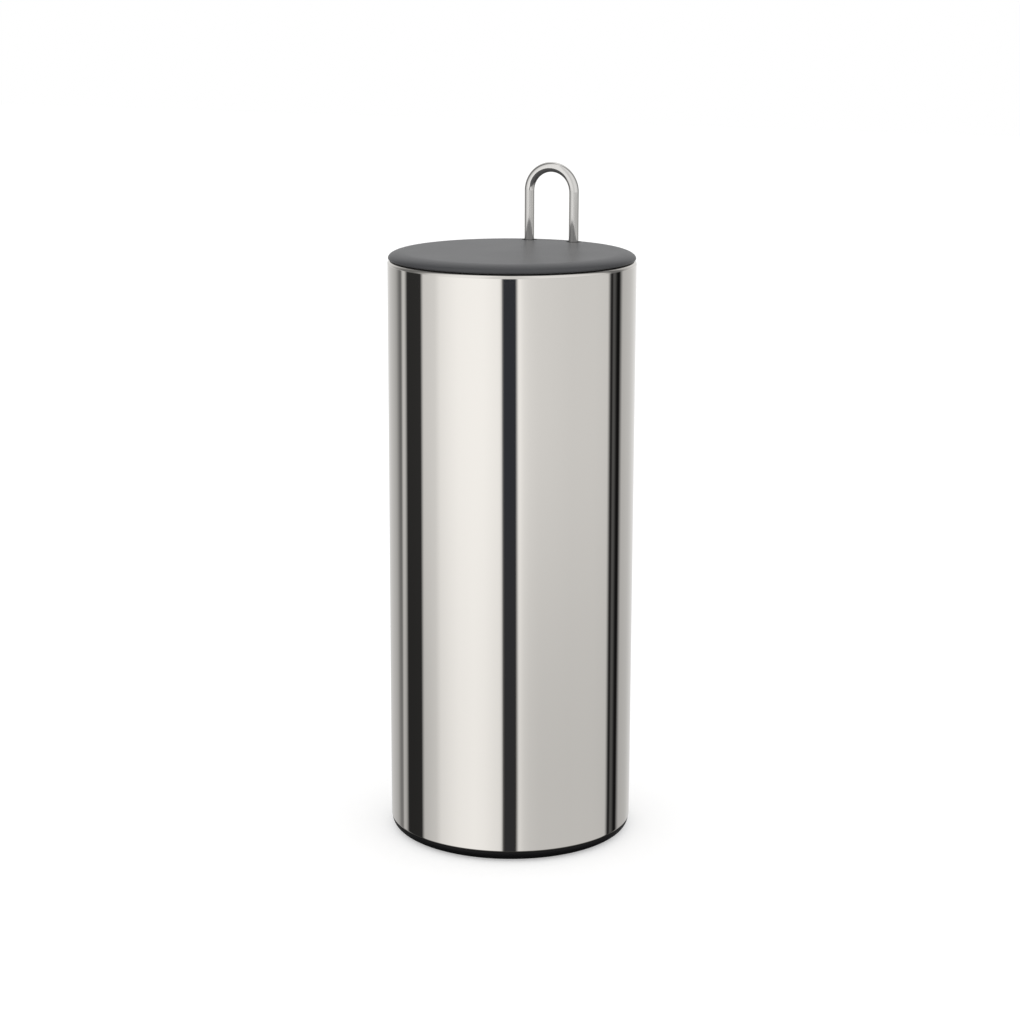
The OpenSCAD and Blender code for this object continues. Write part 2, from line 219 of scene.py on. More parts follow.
def braced(section: np.ndarray, closed: bool, gap: float = 0.12 * MM) -> np.ndarray:
    """Adds a point near both ends of each long straight stretch.

    With them, shading stays flat up to the roundings.

    Args:
        section: one row of r, z for each point.
        closed: whether the last point joins the first.
        gap: how far from each end the new points lie.

    Returns:
        The section with the points added.
    """
    rows = []
    for k, here in enumerate(section):
        rows.append(here)
        if k == len(section) - 1 and not closed:
            break
        step = section[(k + 1) % len(section)] - here
        length = float(np.linalg.norm(step))
        if length > 6 * gap:
            rows += [here + step * gap / length, here + step * (1 - gap / length)]
    return np.array(rows)


def carried(section: np.ndarray, t: np.ndarray) -> np.ndarray:
    """Returns a section's points at each angle t about the Z axis: x = r cos t, y = r sin t, z = z."""
    r, z = section[:, 0][None, :], section[:, 1][None, :]
    x, y = r * np.cos(t)[:, None], r * np.sin(t)[:, None]
    return np.stack([x, y, np.broadcast_to(z, x.shape)], axis=-1).reshape(-1, 3)


def revolve(section: np.ndarray, sides: int, closed: bool = True) -> Surface:
    """Carries a section all the way round the Z axis.

    The section runs anticlockwise as seen with r to the right and z up, so that the faces point outwards. A
    point on the axis makes a whole ring of points there, which are merged when the mesh is made.

    Args:
        section: one row of r, z for each point.
        sides: how many steps a full turn has.
        closed: whether the section's last point joins its first.

    Returns:
        The surface.
    """
    section = braced(section, closed)
    points = carried(section, np.arange(sides) * FULL_TURN / sides)
    faces = grid_faces(sides, len(section), True, closed)
    return Surface(points, faces[:, ::-1])


def turned_solid(corners: Sequence[Sequence[float]], sides: int) -> Surface:
    """Revolves an outline of sharp corners that starts and ends on the Z axis."""
    return revolve(np.array(corners), sides, False)


def ring(outer_r: float, inner_r: float, low: float, high: float, sides: int, edge: float = 0.0) -> Surface:
    """A flat ring, with its edges rounded to a radius."""
    corners = [(inner_r, low), (outer_r, low), (outer_r, high), (inner_r, high)]
    return revolve(rounded(corners, [edge] * 4), sides)


def disc(radius: float, low: float, high: float, sides: int, edge: float = 0.0) -> Surface:
    """A flat disc, with its edges rounded to a radius."""
    corners = [(0.0, low), (radius, low), (radius, high), (0.0, high)]
    return revolve(rounded(corners, [0.0, edge, edge, 0.0]), sides)


def round_rod(path: np.ndarray, radii: np.ndarray, across: np.ndarray, sides: int) -> Surface:
    """Carries a circle along a path that lies in one plane, and closes both ends with a flat cap.

    At each point the circle is p + radius (cos t u + sin t w), where w is the plane's normal and u is the
    normal times the path's direction.

    Args:
        path: one row of x, y, z for each point of the path.
        radii: the rod's radius at each of them.
        across: the normal of the plane that the path lies in.
        sides: how many steps the circle has.

    Returns:
        The surface.
    """
    along = np.gradient(path, axis=0)
    along /= np.linalg.norm(along, axis=1, keepdims=True)
    u = np.cross(across, along)
    t = np.arange(sides) * FULL_TURN / sides
    circle = np.cos(t)[None, :, None] * u[:, None, :] + np.sin(t)[None, :, None] * across[None, None, :]
    points = path[:, None, :] + radii[:, None, None] * circle
    tube = Surface(points.reshape(-1, 3), grid_faces(len(path), sides, False, True)[:, ::-1])
    ends = []
    for row, flip in ((0, False), (len(path) - 1, True)):
        rim = points[row]
        spoke = np.arange(sides)
        after = (spoke + 1) % sides
        middle = np.full(sides, sides)
        order = [after, spoke, middle, middle] if flip else [spoke, after, middle, middle]
        ends.append(Surface(np.vstack([rim, path[row]]), np.stack(order, axis=1)))
    return tube.joined(*ends)


def bar(start: float, end: float, width: float, low: float, high: float) -> Surface:
    """A straight rib along +X, from start to end, with its width across and its two heights."""
    corner = np.array([[i, j, k] for i in (0, 1) for j in (0, 1) for k in (0, 1)], float)
    points = np.array([start, -width / 2, low]) + corner * np.array([end - start, width, high - low])
    faces = np.array([[0, 1, 3, 2], [4, 6, 7, 5], [0, 4, 5, 1], [2, 3, 7, 6], [0, 2, 6, 4], [1, 5, 7, 3]])
    return Surface(points, faces)


def sector(section: np.ndarray, angle: float, steps: int) -> Surface:
    """Carries a four-cornered section through an angle about the Z axis, centred on +X, and closes both ends.

    Args:
        section: the four corners, as (r, z).
        angle: the angle in degrees.
        steps: how many stretches it is cut into.

    Returns:
        The surface.
    """
    points = carried(section, np.radians(np.linspace(-angle / 2, angle / 2, steps + 1)))
    last = 4 * steps
    ends = np.array([[0, 1, 2, 3], [last + 3, last + 2, last + 1, last]])
    return Surface(points, np.vstack([grid_faces(steps + 1, 4, False, True), ends]))


def make_object(name: str, surface: Surface, sharp_from: float = SHARP_FROM) -> bpy.types.Object:
    """Puts a surface into a smooth mesh object at the origin.

    Args:
        name: the object's name.
        surface: what to put into it.
        sharp_from: the angle in degrees from which an edge between two faces stays sharp.

    Returns:
        The new object, linked to the scene.
    """
    mesh = bpy.data.meshes.new(name)
    triangle = surface.faces[:, 2] == surface.faces[:, 3]
    faces = [face[:3] if short else face for face, short in zip(surface.faces.tolist(), triangle)]
    mesh.from_pydata(surface.points.tolist(), [], faces)
    thing = bpy.data.objects.new(name, mesh)
    bpy.context.scene.collection.objects.link(thing)
    clean_mesh(thing)
    smooth_mesh(thing, sharp_from)
    return thing


def clean_mesh(thing: bpy.types.Object) -> None:
    """Merges points that lie on each other, drops faces without area and turns the faces outwards."""
    work = bmesh.new()
    work.from_mesh(thing.data)
    bmesh.ops.remove_doubles(work, verts=work.verts, dist=SAME_POINT)
    bmesh.ops.dissolve_degenerate(work, edges=work.edges, dist=SAME_POINT)
    bmesh.ops.recalc_face_normals(work, faces=work.faces)
    work.to_mesh(thing.data)
    work.free()


def smooth_mesh(thing: bpy.types.Object, sharp_from: float) -> None:
    """Shades a mesh smooth but for the edges that turn by more than sharp_from degrees."""
    thing.data.polygons.foreach_set("use_smooth", np.ones(len(thing.data.polygons), bool))
    thing.data.set_sharp_from_angle(angle=math.radians(sharp_from))
    thing.data.update()


def combine(thing: bpy.types.Object, operation: str, *tools: Surface) -> None:
    """Adds closed surfaces to an object's mesh, or cuts them from it, one tool after the other.

    Args:
        thing: the object to change, whose mesh keeps the result.
        operation: UNION or DIFFERENCE.
        tools: the surfaces; the solids within one tool don't overlap each other.
    """
    for tool in tools:
        other = make_object(f"{thing.name}_tool", tool)
        step = thing.modifiers.new("combine", "BOOLEAN")
        step.operation = operation
        step.solver = "EXACT"
        step.object = other
        graph = bpy.context.evaluated_depsgraph_get()
        mesh = bpy.data.meshes.new_from_object(thing.evaluated_get(graph))
        thing.modifiers.clear()
        thing.data = mesh
        bpy.data.objects.remove(other)
    clean_mesh(thing)
    smooth_mesh(thing, SHARP_FROM)


# Shader maths


@dataclass
class Value:
    """A shader socket on which Python's operators add Math nodes."""

    graph: "Graph"
    socket: bpy.types.NodeSocket

    def __add__(self, other: "Value | float") -> "Value":
        """Returns this value plus another."""
        return self.graph.math("ADD", self, other)

    def __sub__(self, other: "Value | float") -> "Value":
        """Returns this value less another."""
        return self.graph.math("SUBTRACT", self, other)

    def __rsub__(self, other: float) -> "Value":
        """Returns a number less this value."""
        return self.graph.math("SUBTRACT", other, self)

    def __mul__(self, other: "Value | float") -> "Value":
        """Returns this value times another."""
        return self.graph.math("MULTIPLY", self, other)

    __radd__ = __add__
    __rmul__ = __mul__


class Graph:
    """A node tree that is built one node at a time."""

    def __init__(self, tree: bpy.types.NodeTree) -> None:
        """Empties a node tree and takes it over."""
        self.tree = tree
        tree.nodes.clear()

    def node(
        self, kind: str, settings: Mapping[str, Any] | None = None, inputs: Mapping[Any, Any] | None = None
    ) -> bpy.types.Node:
        """Adds a node.

        Args:
            kind: the node's type.
            settings: the properties to set first; a ramp's stops are given as (place, colour) pairs.
            inputs: a value, a socket or a Value for each input, by its name or number.

        Returns:
            The node.
        """
        node = self.tree.nodes.new(kind)
        for key, setting in (settings or {}).items():
            if key == "stops":
                self._set_stops(node.color_ramp, setting)
            else:
                setattr(node, key, setting)
        for key, given in (inputs or {}).items():
            socket = node.inputs[key]
            if isinstance(given, Value):
                self.tree.links.new(given.socket, socket)
            elif isinstance(given, bpy.types.NodeSocket):
                self.tree.links.new(given, socket)
            else:
                socket.default_value = given
        return node

    @staticmethod
    def _set_stops(ramp: bpy.types.ColorRamp, stops: Sequence[tuple[float, Sequence[float]]]) -> None:
        """Replaces a colour ramp's stops."""
        while len(ramp.elements) > 1:
            ramp.elements.remove(ramp.elements[-1])
        ramp.elements[0].position = stops[0][0]
        ramp.elements[0].color = (*stops[0][1], 1.0)
        for place, colour in stops[1:]:
            ramp.elements.new(place).color = (*colour, 1.0)

    def value(self, node: bpy.types.Node, output: Any = 0) -> Value:
        """Returns one of a node's outputs as a Value."""
        return Value(self, node.outputs[output])

    def math(self, operation: str, *terms: "Value | float") -> Value:
        """Returns the result of a Math node."""
        node = self.node("ShaderNodeMath", {"operation": operation}, dict(enumerate(terms)))
        return self.value(node)

    def mix(self, factor: "Value | float", first: Any, second: Any, blend: str = "MIX") -> Value:
        """Returns a mix of two colours."""
        settings = {"data_type": "RGBA", "blend_type": blend}
        inputs = {"Factor": factor, "A": colour_input(first), "B": colour_input(second)}
        return self.value(self.node("ShaderNodeMix", settings, inputs), "Result")

    def ramp(self, place: Value, stops: Sequence[tuple[float, Sequence[float]]]) -> Value:
        """Returns the colour at a place on a ramp."""
        return self.value(self.node("ShaderNodeValToRGB", {"stops": stops}, {0: place}))

    def rise(self, given: Value, ends: tuple[float, float], kind: str = "LINEAR") -> Value:
        """Returns a value that grows from 0 to 1 while the given one goes from one end to the other."""
        inputs = {"Value": given, "From Min": ends[0], "From Max": ends[1]}
        return self.value(self.node("ShaderNodeMapRange", {"interpolation_type": kind}, inputs))

    def feed(self, given: Value, shader: bpy.types.Node, name: str) -> None:
        """Links a value to one of a shader's sockets."""
        self.tree.links.new(given.socket, shader.inputs[name])


def colour_input(colour: Any) -> Any:
    """Gives a plain colour its alpha, and leaves a Value as it is."""
    return colour if isinstance(colour, Value) else (*colour, 1.0)


# Finishes


@dataclass(frozen=True)
class Finish:
    """What all finishes share.

    Attributes:
        label: the material's name.
        colour: the base colour, in linear light.
        roughness: the surface's middle roughness.
        metallic: 1 for a metal and 0 for anything else.
    """

    label: str
    colour: tuple[float, float, float]
    roughness: float
    metallic: ClassVar[float] = 0.0

    def material(self) -> bpy.types.Material:
        """Returns the finish's material, which is made once."""
        found = bpy.data.materials.get(self.label)
        if found is not None:
            return found
        made = bpy.data.materials.new(self.label)
        made.use_nodes = True
        graph = Graph(made.node_tree)
        shader = graph.node("ShaderNodeBsdfPrincipled")
        shader.inputs["Base Color"].default_value = (*self.colour, 1.0)
        shader.inputs["Roughness"].default_value = self.roughness
        shader.inputs["Metallic"].default_value = self.metallic
        self.dress(graph, shader)
        graph.node("ShaderNodeOutputMaterial", None, {"Surface": shader.outputs[0]})
        return made

    def dress(self, graph: Graph, shader: bpy.types.Node) -> None:
        """Adds what is special to the finish."""

    @staticmethod
    def pattern(graph: Graph, scale: Sequence[float], detail: float) -> Value:
        """Returns a noise over the object's own coordinates, in metres times scale along each axis."""
        place = graph.value(graph.node("ShaderNodeTexCoord"), "Object")
        spread = graph.node("ShaderNodeMapping", None, {"Vector": place, "Scale": tuple(scale)})
        inputs = {"Vector": spread.outputs[0], "Scale": 1.0, "Detail": detail}
        return graph.value(graph.node("ShaderNodeTexNoise", None, inputs))

    @staticmethod
    def emboss(graph: Graph, shader: bpy.types.Node, height: Value, distance: float) -> None:
        """Feeds a height, in units of distance in metres, to the shader's normal."""
        bump = graph.node("ShaderNodeBump", None, {"Height": height, "Strength": 1.0, "Distance": distance})
        graph.feed(graph.value(bump), shader, "Normal")

    def vary_gloss(self, graph: Graph, shader: bpy.types.Node, noise: Value, swing: float) -> None:
        """Lets the roughness wander round its middle with a noise, over a range as wide as swing."""
        graph.feed(noise * swing + (self.roughness - swing / 2), shader, "Roughness")


@dataclass(frozen=True)
class PolishedSheet(Finish):
    """Mirror-polished sheet: almost sharp reflections, with a faint haze left by the polishing belt.

    Attributes:
        haze: how far the roughness wanders.
        streaks: how many streaks of the belt a metre holds, along each axis.
        wave_height: the height of the sheet's slow waves, in metres.
        waves: how many waves a metre holds, along each axis.
    """

    metallic: ClassVar[float] = 1.0
    haze: float = 0.012
    streaks: tuple[float, float, float] = (900.0, 900.0, 60.0)
    wave_height: float = 0.0000015
    waves: tuple[float, float, float] = (22.0, 22.0, 7.0)

    def dress(self, graph: Graph, shader: bpy.types.Node) -> None:
        """Adds streaks in the roughness and a slow wave in the sheet."""
        self.vary_gloss(graph, shader, self.pattern(graph, self.streaks, 3.0), self.haze)
        self.emboss(graph, shader, self.pattern(graph, self.waves, 1.0), self.wave_height)


@dataclass(frozen=True)
class DrawnRod(Finish):
    """Bright drawn rod: fine lines that run along it.

    Attributes:
        haze: how far the roughness wanders.
        lines: how many lines a metre holds, along each axis.
        line_height: the height of the lines, in metres.
    """

    metallic: ClassVar[float] = 1.0
    haze: float = 0.064
    lines: tuple[float, float, float] = (6000.0, 6000.0, 120.0)
    line_height: float = 0.000004

    def dress(self, graph: Graph, shader: bpy.types.Node) -> None:
        """Adds long fine lines in gloss and relief."""
        lines = self.pattern(graph, self.lines, 2.0)
        self.vary_gloss(graph, shader, lines, self.haze)
        self.emboss(graph, shader, lines, self.line_height)


@dataclass(frozen=True)
class MouldedPlastic(Finish):
    """Moulded plastic with the fine grain of an eroded tool.

    Attributes:
        grain_size: the size of the grain, in metres.
        grain_height: the depth of the grain, in metres.
        mottle: how far the colour wanders, as a share of itself.
        sheen: the strength of its mirroring, where 0.5 is that of common plastic.
        haze: how far the roughness wanders.
        clouds: how many lighter and darker places a metre holds, along each axis.
    """

    grain_size: float = 0.0005
    grain_height: float = 0.00002
    mottle: float = 0.06
    sheen: float = 0.5
    haze: float = 0.06
    clouds: tuple[float, float, float] = (35.0, 35.0, 35.0)

    def dress(self, graph: Graph, shader: bpy.types.Node) -> None:
        """Adds the grain, and a slow change of colour and gloss."""
        shader.inputs["Specular IOR Level"].default_value = self.sheen
        grain = self.pattern(graph, (1 / self.grain_size,) * 3, 2.0)
        self.emboss(graph, shader, grain, self.grain_height)
        drift = self.pattern(graph, self.clouds, 3.0)
        dark = tuple(c * (1 - self.mottle) for c in self.colour)
        light = tuple(c * (1 + self.mottle) for c in self.colour)
        graph.feed(graph.mix(drift, dark, light), shader, "Base Color")
        self.vary_gloss(graph, shader, drift, self.haze)


@dataclass(frozen=True)
class PlainSteel(Finish):
    """Bright plated steel of small fasteners, with a little uneven gloss.

    Attributes:
        haze: how far the roughness wanders.
        blotches: how many blotches a metre holds, along each axis.
    """

    metallic: ClassVar[float] = 1.0
    haze: float = 0.2
    blotches: tuple[float, float, float] = (900.0, 900.0, 900.0)

    def dress(self, graph: Graph, shader: bpy.types.Node) -> None:
        """Adds blotches in the roughness."""
        self.vary_gloss(graph, shader, self.pattern(graph, self.blotches, 3.0), self.haze)


SLEEVE_FINISH = PolishedSheet("mirror_polished_sheet", (0.888, 0.858, 0.812), 0.03)
ROD_FINISH = DrawnRod("bright_rod", (0.84, 0.825, 0.8), 0.08)
FASTENER_FINISH = PlainSteel("plated_fasteners", (0.6, 0.6, 0.58), 0.32)
LID_FINISH = MouldedPlastic("lid_satin_grey", (0.06, 0.061, 0.065), 0.4, sheen=0.4)
INNER_FINISH = MouldedPlastic("inner_matt_grey", (0.055, 0.056, 0.059), 0.52)
BASE_FINISH = MouldedPlastic("base_satin_black", (0.006, 0.006, 0.007), 0.5, sheen=0.22)
RUBBER_FINISH = MouldedPlastic(
    "soft_black_rubber",
    (0.018, 0.018, 0.019),
    0.75,
    grain_size=0.0003,
    grain_height=0.00001,
    mottle=0.1,
    sheen=0.3,
)


def dress_piece(thing: bpy.types.Object, finish: Finish) -> None:
    """Gives an object one finish all over."""
    if thing.material_slots:
        for slot in thing.material_slots:
            slot.material = finish.material()
    else:
        thing.data.materials.append(finish.material())


def place_piece(thing: bpy.types.Object, body: Body, finish: Finish, replaced: str) -> None:
    """Dresses a new piece, lets it ride on its body and hides the node that it stands for.

    Args:
        thing: the finished piece.
        body: the body that it moves with.
        finish: its finish.
        replaced: the node that it stands for.
    """
    dress_piece(thing, finish)
    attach(thing, body.value)
    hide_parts(replaced)
    LOG.info("%s: %d faces, on %s", thing.name, len(thing.data.polygons), body.value)


# The canister


@dataclass
class Sleeve:
    """The steel sleeve: one sheet with a rolled rim at its mouth and a flange turned in at its foot.

    Attributes:
        sheet: the sheet's thickness.
        rim_roll: the outside radius of the rolled rim.
        rim_lip: the length of the lip inside it.
        hem_bend: the outside radius of the bend at the foot.
        hem_width: the width of the flange turned in there.
        sides: how many steps the full turn has.
    """

    sheet: float = 0.6 * MM
    rim_roll: float = 2.2 * MM
    rim_lip: float = 2.0 * MM
    hem_bend: float = 1.2 * MM
    hem_width: float = 3.0 * MM
    sides: int = 256

    def section(self) -> np.ndarray:
        """Returns the sheet's outline: up the outside, over the rim, and down the inside to the flange."""
        low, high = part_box("steel_sleeve")
        outer, foot, roll_z = high.x, low.z, high.z - self.rim_roll
        roll_x, bend_x, bend_z = outer - self.rim_roll, outer - self.hem_bend, foot + self.hem_bend
        mouth = roll_x - self.rim_roll
        inner_roll, inner_bend = self.rim_roll - self.sheet, self.hem_bend - self.sheet
        return outline(
            (outer - self.hem_width, foot),
            arc((bend_x, bend_z), self.hem_bend, -90, 0, 8),
            arc((roll_x, roll_z), self.rim_roll, 0, 180, 40),
            (mouth, roll_z - self.rim_lip),
            (mouth + self.sheet, roll_z - self.rim_lip),
            arc((roll_x, roll_z), inner_roll, 180, 0, 16),
            arc((bend_x, bend_z), inner_bend, 0, -90, 6),
            (outer - self.hem_width, foot + self.sheet),
        )

    def build(self) -> None:
        """Makes the sleeve."""
        sleeve = make_object("sleeve_skin", revolve(self.section(), self.sides))
        place_piece(sleeve, Body.CANISTER, SLEEVE_FINISH, "steel_sleeve")


@dataclass
class Base:
    """The base moulding with its collar, snap fingers and ribs, and the non-slip ring in its channel.

    Attributes:
        wall: the thickness of the floor and the foot.
        foot_bend: the greatest radius of the rounding under the foot.
        floor_drop: the height of the collar's top above the floor.
        collar: the thickness of the collar.
        collar_in: the step from the foot's outside in to the collar.
        fingers: how many snap fingers the collar has.
        finger_angle: the angle that each takes, in degrees.
        slot: the width of the slots beside them.
        barb: how far each barb stands out, and its height.
        barb_lift: the height of the barbs above the floor.
        ribs: how many ribs there are under the floor.
        rib: the thickness of the ribs.
        hub: the radius of the hub that they meet at.
        rib_lift: the distance from the foot's lowest face up to them.
        ring_w: the width of the non-slip ring.
        edge: the radius of the small roundings.
        fit: the gap round the non-slip ring.
        sides: how many steps the full turn has.
    """

    wall: float = 2.2 * MM
    foot_bend: float = 5.6 * MM
    floor_drop: float = 11.0 * MM
    collar: float = 1.8 * MM
    collar_in: float = 2.8 * MM
    fingers: int = 8
    finger_angle: float = 15.0
    slot: float = 1.2 * MM
    barb: tuple[float, float] = (1.5 * MM, 3.0 * MM)
    barb_lift: float = 0.65 * MM
    ribs: int = 16
    rib: float = 1.4 * MM
    hub: float = 11.0 * MM
    rib_lift: float = 0.6 * MM
    ring_w: float = 6.0 * MM
    edge: float = 0.25 * MM
    fit: float = 0.05 * MM
    sides: int = 256

    def section(self, foot_r: float, foot_z: float, top_z: float) -> np.ndarray:
        """Returns the moulding's outline, from its underside's middle round the foot and over the collar.

        The foot is a quarter of an ellipse, and the pocket under the floor follows it at the wall's
        thickness.

        Args:
            foot_r: the foot's outside radius.
            foot_z: the height of its lowest face.
            top_z: the height of the collar's top.

        Returns:
            One row of r, z for each point.
        """
        floor_z = top_z - self.floor_drop
        under_z = floor_z - self.wall
        lip = self.edge
        bend_w = min(self.foot_bend, floor_z - foot_z)
        bend_h = min(self.foot_bend, floor_z - foot_z - lip)
        bend_r, bend_z = foot_r - bend_w, foot_z + bend_h
        start = -math.degrees(math.asin((bend_z - under_z) / (bend_h - self.wall)))
        collar_r = foot_r - self.collar_in
        inner_r = collar_r - self.collar
        return outline(
            (0.0, under_z),
            arc((bend_r, bend_z), (bend_w - self.wall, bend_h - self.wall), start, -90, 12),
            arc((bend_r, bend_z), (bend_w, bend_h), -90, 0, 24),
            arc((foot_r - lip, floor_z - lip), lip, 0, 90, 4),
            (collar_r, floor_z),
            arc((collar_r - lip, top_z - lip), lip, 0, 90, 4),
            arc((inner_r + lip, top_z - lip), lip, 90, 180, 4),
            arc((inner_r - 2 * lip, floor_z + 2 * lip), 2 * lip, 0, -90, 4),
            (0.0, floor_z),
        )

    def channel(
        self, outer_r: float, inner_r: float, groove_z: float, low_z: float, high_z: float
    ) -> Surface:
        """Returns the walls that hold the non-slip ring, and what lies over it.

        Args:
            outer_r: the ring's outside radius.
            inner_r: its inside radius.
            groove_z: the height of its top.
            low_z: the height that the walls reach down to.
            high_z: the height that they start from.

        Returns:
            The surface.
        """
        corners = [
            (outer_r + self.rib, low_z),
            (outer_r + self.rib, high_z),
            (inner_r - self.rib, high_z),
            (inner_r - self.rib, low_z),
            (inner_r - self.fit, low_z),
            (inner_r - self.fit, groove_z),
            (outer_r + self.fit, groove_z),
            (outer_r + self.fit, low_z),
        ]
        radii = [self.edge, 0, 0, self.edge, self.edge, 0, 0, self.edge]
        return revolve(rounded(corners, radii), self.sides)

    def finger_cuts(self, collar_r: float, floor_z: float, top_z: float) -> Surface:
        """Returns the slots on both sides of every snap finger, as solids to cut away.

        Args:
            collar_r: the collar's outside radius.
            floor_z: the height of the base's floor.
            top_z: the height of the collar's top.

        Returns:
            The solids as one surface.
        """
        lean = math.degrees(math.asin(self.slot / collar_r)) / 2 + self.finger_angle / 2
        start, end = collar_r - self.collar - OVERCUT, collar_r + OVERCUT
        cutter = bar(start, end, self.slot, floor_z + self.barb_lift, top_z + OVERCUT)
        return cutter.around(self.fingers, lean).joined(cutter.around(self.fingers, -lean))

    def barbs(self, collar_r: float, low_z: float) -> Surface:
        """Returns the barbs that hold the sleeve's flange, at a height."""
        reach, rise = self.barb
        root, tip = collar_r - self.collar / 2, collar_r + reach
        section = [(root, low_z), (tip, low_z), (tip, low_z + rise / 4), (root, low_z + rise)]
        return sector(np.array(section), self.finger_angle, 12).around(self.fingers)

    def build(self) -> None:
        """Makes the moulding and its ring."""
        low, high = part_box("base_moulding")
        ring_low, ring_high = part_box("non_slip_ring")
        floor_z = high.z - self.floor_drop
        collar_r = high.x - self.collar_in
        middle_z = floor_z - self.wall / 2
        rib_z = low.z + self.rib_lift
        ring_r = ring_high.x
        inner_r = ring_r - self.ring_w
        base = make_object("base_skin", revolve(self.section(high.x, low.z, high.z), self.sides, False))
        spoke = bar(self.hub - self.rib / 2, inner_r - self.rib / 2, self.rib, rib_z, middle_z)
        spokes = spoke.around(self.ribs)
        hub = ring(self.hub, self.hub - self.rib, rib_z, middle_z, 96)
        channel = self.channel(ring_r, inner_r, ring_high.z, rib_z, middle_z)
        combine(base, "UNION", spokes, hub.joined(channel, self.barbs(collar_r, floor_z + self.barb_lift)))
        combine(base, "DIFFERENCE", self.finger_cuts(collar_r, floor_z, high.z))
        place_piece(base, Body.CANISTER, BASE_FINISH, "base_moulding")
        grip_shape = ring(ring_r, inner_r, ring_low.z, ring_high.z, self.sides, self.edge)
        grip = make_object("grip_ring", grip_shape)
        place_piece(grip, Body.CANISTER, RUBBER_FINISH, "non_slip_ring")


# The carrier


@dataclass(frozen=True)
class Legs:
    """Where the handle's two legs stand.

    Attributes:
        x: the distance of each leg from the plane X = 0.
        y: how far back both legs stand.
        rod_r: the rod's radius.
    """

    x: float
    y: float
    rod_r: float

    @classmethod
    def from_frame(cls) -> "Legs":
        """Reads the legs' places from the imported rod."""
        low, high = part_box("handle_rod")
        rod_r = (high.y - low.y) / 2
        return cls(high.x - rod_r, (low.y + high.y) / 2, rod_r)

    def at_both(self, surface: Surface) -> Surface:
        """Returns two copies of a surface, one on each leg's axis."""
        return surface.moved(self.x, self.y).joined(surface.moved(-self.x, self.y))


@dataclass(frozen=True)
class Screw:
    """A pan head screw that points up, with the underside of its head at z = 0.

    Attributes:
        length: the length under the head.
        pitch: the distance from one turn of the thread to the next.
        head_r: the head's radius.
        head_h: its height.
        core_r: the thread's radius between the crests.
        crest_r: its radius at the crests.
        drive: the width across the flats of the hexagon recess.
        drive_depth: the depth of that recess.
        drive_cone: the depth of the cone in the recess's floor.
        dome: the radius of the rounding round the head.
        edge: the size of the smallest chamfers.
        crest_slope: how fast a crest falls off on both sides, for each turn.
        tip_turns: how many turns of the thread taper towards the tip.
        tip_share: the core's radius at the tip, as a share of the full one.
        turn_rows: how many rows of points each turn of the thread has.
        sides: how many steps the full turn has.
    """

    length: float
    pitch: float
    head_r: float = 2.7 * MM
    head_h: float = 1.8 * MM
    core_r: float = 1.1 * MM
    crest_r: float = 1.45 * MM
    drive: float = 2.5 * MM
    drive_depth: float = 1.1 * MM
    drive_cone: float = 0.3 * MM
    dome: float = 0.8 * MM
    edge: float = 0.1 * MM
    crest_slope: float = 3.2
    tip_turns: float = 1.2
    tip_share: float = 0.55
    turn_rows: int = 10
    sides: int = 36

    def head_rows(self, t: np.ndarray) -> list[tuple[np.ndarray, float]]:
        """Returns radius and height from the recess's floor round the head to the shank.

        The recess is a hexagon: r = half its width over cos(t mod 60 degrees - 30 degrees).

        Args:
            t: the angles round the axis.

        Returns:
            For each row, the radius at every angle and the row's height.
        """
        hexagon = self.drive / 2 / np.cos(np.mod(t, FULL_TURN / 6) - FULL_TURN / 12)
        low = -self.head_h
        rows = [
            (np.zeros_like(t), low + self.drive_depth + self.drive_cone),
            (hexagon, low + self.drive_depth),
            (hexagon, low + self.edge),
            (hexagon + self.edge, low),
        ]
        rim = arc((self.head_r - self.dome, low + self.dome), self.dome, -90, 0, 6)
        rows += [(np.full_like(t, r), z) for r, z in rim]
        rows.append((np.full_like(t, self.head_r), -self.edge))
        rows.append((np.full_like(t, self.head_r - self.edge), 0.0))
        return rows

    def shank_rows(self, t: np.ndarray) -> list[tuple[np.ndarray, float]]:
        """Returns radius and height from the head up to the tip.

        The radius is the core's plus a triangular crest where z / pitch - t / turn is near a whole number and
        a half. The crest grows from nothing at the head, and crest and core taper towards the tip.

        Args:
            t: the angles round the axis.

        Returns:
            For each row, the radius at every angle and the row's height.
        """
        taper = self.tip_turns * self.pitch
        rows = []
        for z in np.linspace(0.0, self.length, int(self.turn_rows * self.length / self.pitch)):
            phase = np.mod(z / self.pitch - t / FULL_TURN, 1.0)
            crest = np.clip(1 - self.crest_slope * np.abs(phase - 0.5), 0.0, 1.0)
            point = min(1.0, (self.length - z) / taper)
            grown = min(1.0, z / self.pitch, point)
            core = self.core_r * (self.tip_share + (1 - self.tip_share) * point)
            rows.append((core + (self.crest_r - self.core_r) * crest * grown, z))
        rows.append((np.zeros_like(t), self.length))
        return rows

    def surface(self) -> Surface:
        """Returns the whole screw as one closed surface."""
        t = np.arange(self.sides) * FULL_TURN / self.sides
        rows = self.head_rows(t) + self.shank_rows(t)
        radii = np.array([r for r, _ in rows])
        heights = np.broadcast_to(np.array([[z] for _, z in rows]), radii.shape)
        points = np.stack([radii * np.cos(t), radii * np.sin(t), heights], axis=-1)
        return Surface(points.reshape(-1, 3), grid_faces(len(rows), self.sides, False, True))


